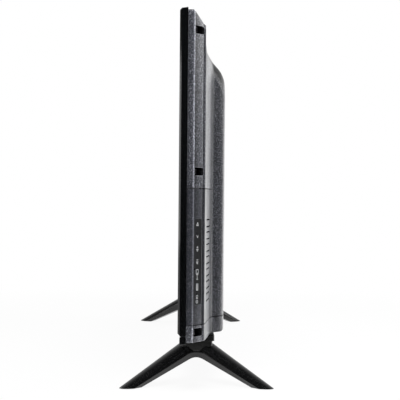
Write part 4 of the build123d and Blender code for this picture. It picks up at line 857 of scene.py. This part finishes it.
back_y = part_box("rear_cover")[1].y
lip_values = {"Count": SLOT_COUNT, "Pitch": SLOT_PITCH, "Width": SLOT_WIDTH, "Height": SLOT_HEIGHT,
              "Lip": LIP_RADIUS, "Start": (-SLOT_PITCH * (SLOT_COUNT - 1) / 2, back_y, SLOT_ROWS[0]),
              "Row gap": SLOT_ROWS[1] - SLOT_ROWS[0]}
tree, given, target = new_growth("slot_lips", lip_values)
outline = add_node(tree, "GeometryNodeCurvePrimitiveQuadrilateral", (-5, 1), Width=given["Width"],
                   Height=given["Height"])
radius = maths(tree, (-5, -1), "MULTIPLY", given["Width"], FILLET_SHARE)
rounded = add_node(tree, "GeometryNodeFilletCurve", (-4, 1), mode="POLY", Curve=outline.outputs[0],
                   Count=4, Radius=radius)
wire = add_node(tree, "GeometryNodeCurvePrimitiveCircle", (-4, -1), Resolution=6, Radius=given["Lip"])
lip = add_node(tree, "GeometryNodeCurveToMesh", (-3, 1), Curve=rounded.outputs[0],
               Profile_Curve=wire.outputs[0])
upright = add_node(tree, "GeometryNodeTransform", (-2, 1), Geometry=lip.outputs[0],
                   Rotation=(math.pi / 2, 0, 0))
step = add_node(tree, "ShaderNodeCombineXYZ", (-4, -3), X=given["Pitch"])
line = add_node(tree, "GeometryNodeMeshLine", (-3, -3), Count=given["Count"], Start_Location=given["Start"],
                Offset=step.outputs[0])
row = add_node(tree, "GeometryNodeInstanceOnPoints", (-1, 0), Points=line.outputs[0],
               Instance=upright.outputs[0])
climb = add_node(tree, "ShaderNodeCombineXYZ", (0, -3), Z=given["Row gap"])
rows = add_node(tree, "GeometryNodeMeshLine", (1, -3), Count=len(SLOT_ROWS), Offset=climb.outputs[0])
both = add_node(tree, "GeometryNodeInstanceOnPoints", (2, 0), Points=rows.outputs[0],
                Instance=row.outputs[0])
close_growth(tree, both.outputs[0], target, finishes["grained_cover"])
slot_lips = grow("slot_lips", tree, lip_values, "cabinet")

# %% [markdown]
# ## Contacts in the sockets
# A plug finds a row of gilded springs on the tongue of each socket. They are far too fine for the
# solids, yet they are what the eye looks for in an open socket. They could be a stripe in the
# socket's material, but a stripe has no edges to glint, so one small tree lays a row of flat bars
# on each tongue: nineteen for a picture lead and four for a memory stick.

# %% A tree for rows of contacts
gold, tree, shader = plastic("gilded_contact", (0.9, 0.66, 0.28), 0.22, metallic=1.0)
rubbing = place_group(tree, grain_group, (-4, 0), grains_per_metre=3000, depth=0.000004, edge_radius=0.0001)
join(tree, rubbing["Normal"], shader.inputs["Normal"])


def make_contact_tree():
    """A row of flat bars along Z."""
    inputs = {"Count": 4, "Pitch": 0.001, "Size": (0.0, 0.0, 0.0), "Start": (0.0, 0.0, 0.0)}
    tree, given, target = new_growth("contact_row", inputs)
    bar = add_node(tree, "GeometryNodeMeshCube", (-2, 1), Size=given["Size"])
    step = add_node(tree, "ShaderNodeCombineXYZ", (-3, -1), Z=given["Pitch"])
    line = add_node(tree, "GeometryNodeMeshLine", (-2, -1), Count=given["Count"],
                    Start_Location=given["Start"], Offset=step.outputs[0])
    row = add_node(tree, "GeometryNodeInstanceOnPoints", (0, 0), Points=line.outputs[0],
                   Instance=bar.outputs[0])
    close_growth(tree, row.outputs[0], target, gold)
    return tree


contact_tree = make_contact_tree()
print("tree:", contact_tree.name)

# %% Rows of contacts
GOLD_LENGTH, GOLD_THICKNESS = 5.5 * MM, 0.12 * MM
TONGUE_OFFSET = 0.78 * MM
CONTACT_ROWS = (("picture", "hdmi_sockets", 19, 0.5 * MM, 0.25 * MM),
                ("stick", "usb_sockets", 4, 2.2 * MM, 1.1 * MM))

for kind, node, count, pitch, width in CONTACT_ROWS:
    low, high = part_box(node)
    heights = [vertex.co.z for vertex in nodes[node].data.vertices]
    middle = (low + high) / 2
    sockets = ([z for z in heights if z < middle.z], [z for z in heights if z > middle.z])
    for number, socket in enumerate(sockets, start=1):
        height = (min(socket) + max(socket)) / 2
        start = (high.x - GOLD_LENGTH, middle.y + TONGUE_OFFSET, height - pitch * (count - 1) / 2)
        size = (GOLD_LENGTH, GOLD_THICKNESS, width)
        row_values = {"Count": count, "Pitch": pitch, "Size": size, "Start": start}
        contacts = grow(f"{kind}_contacts_{number}", contact_tree, row_values, "cabinet")

# %% [markdown]
# ## Finish
# The last step measures the box of everything that is seen, leaving out the floor.

# %% Finish
low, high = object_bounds()
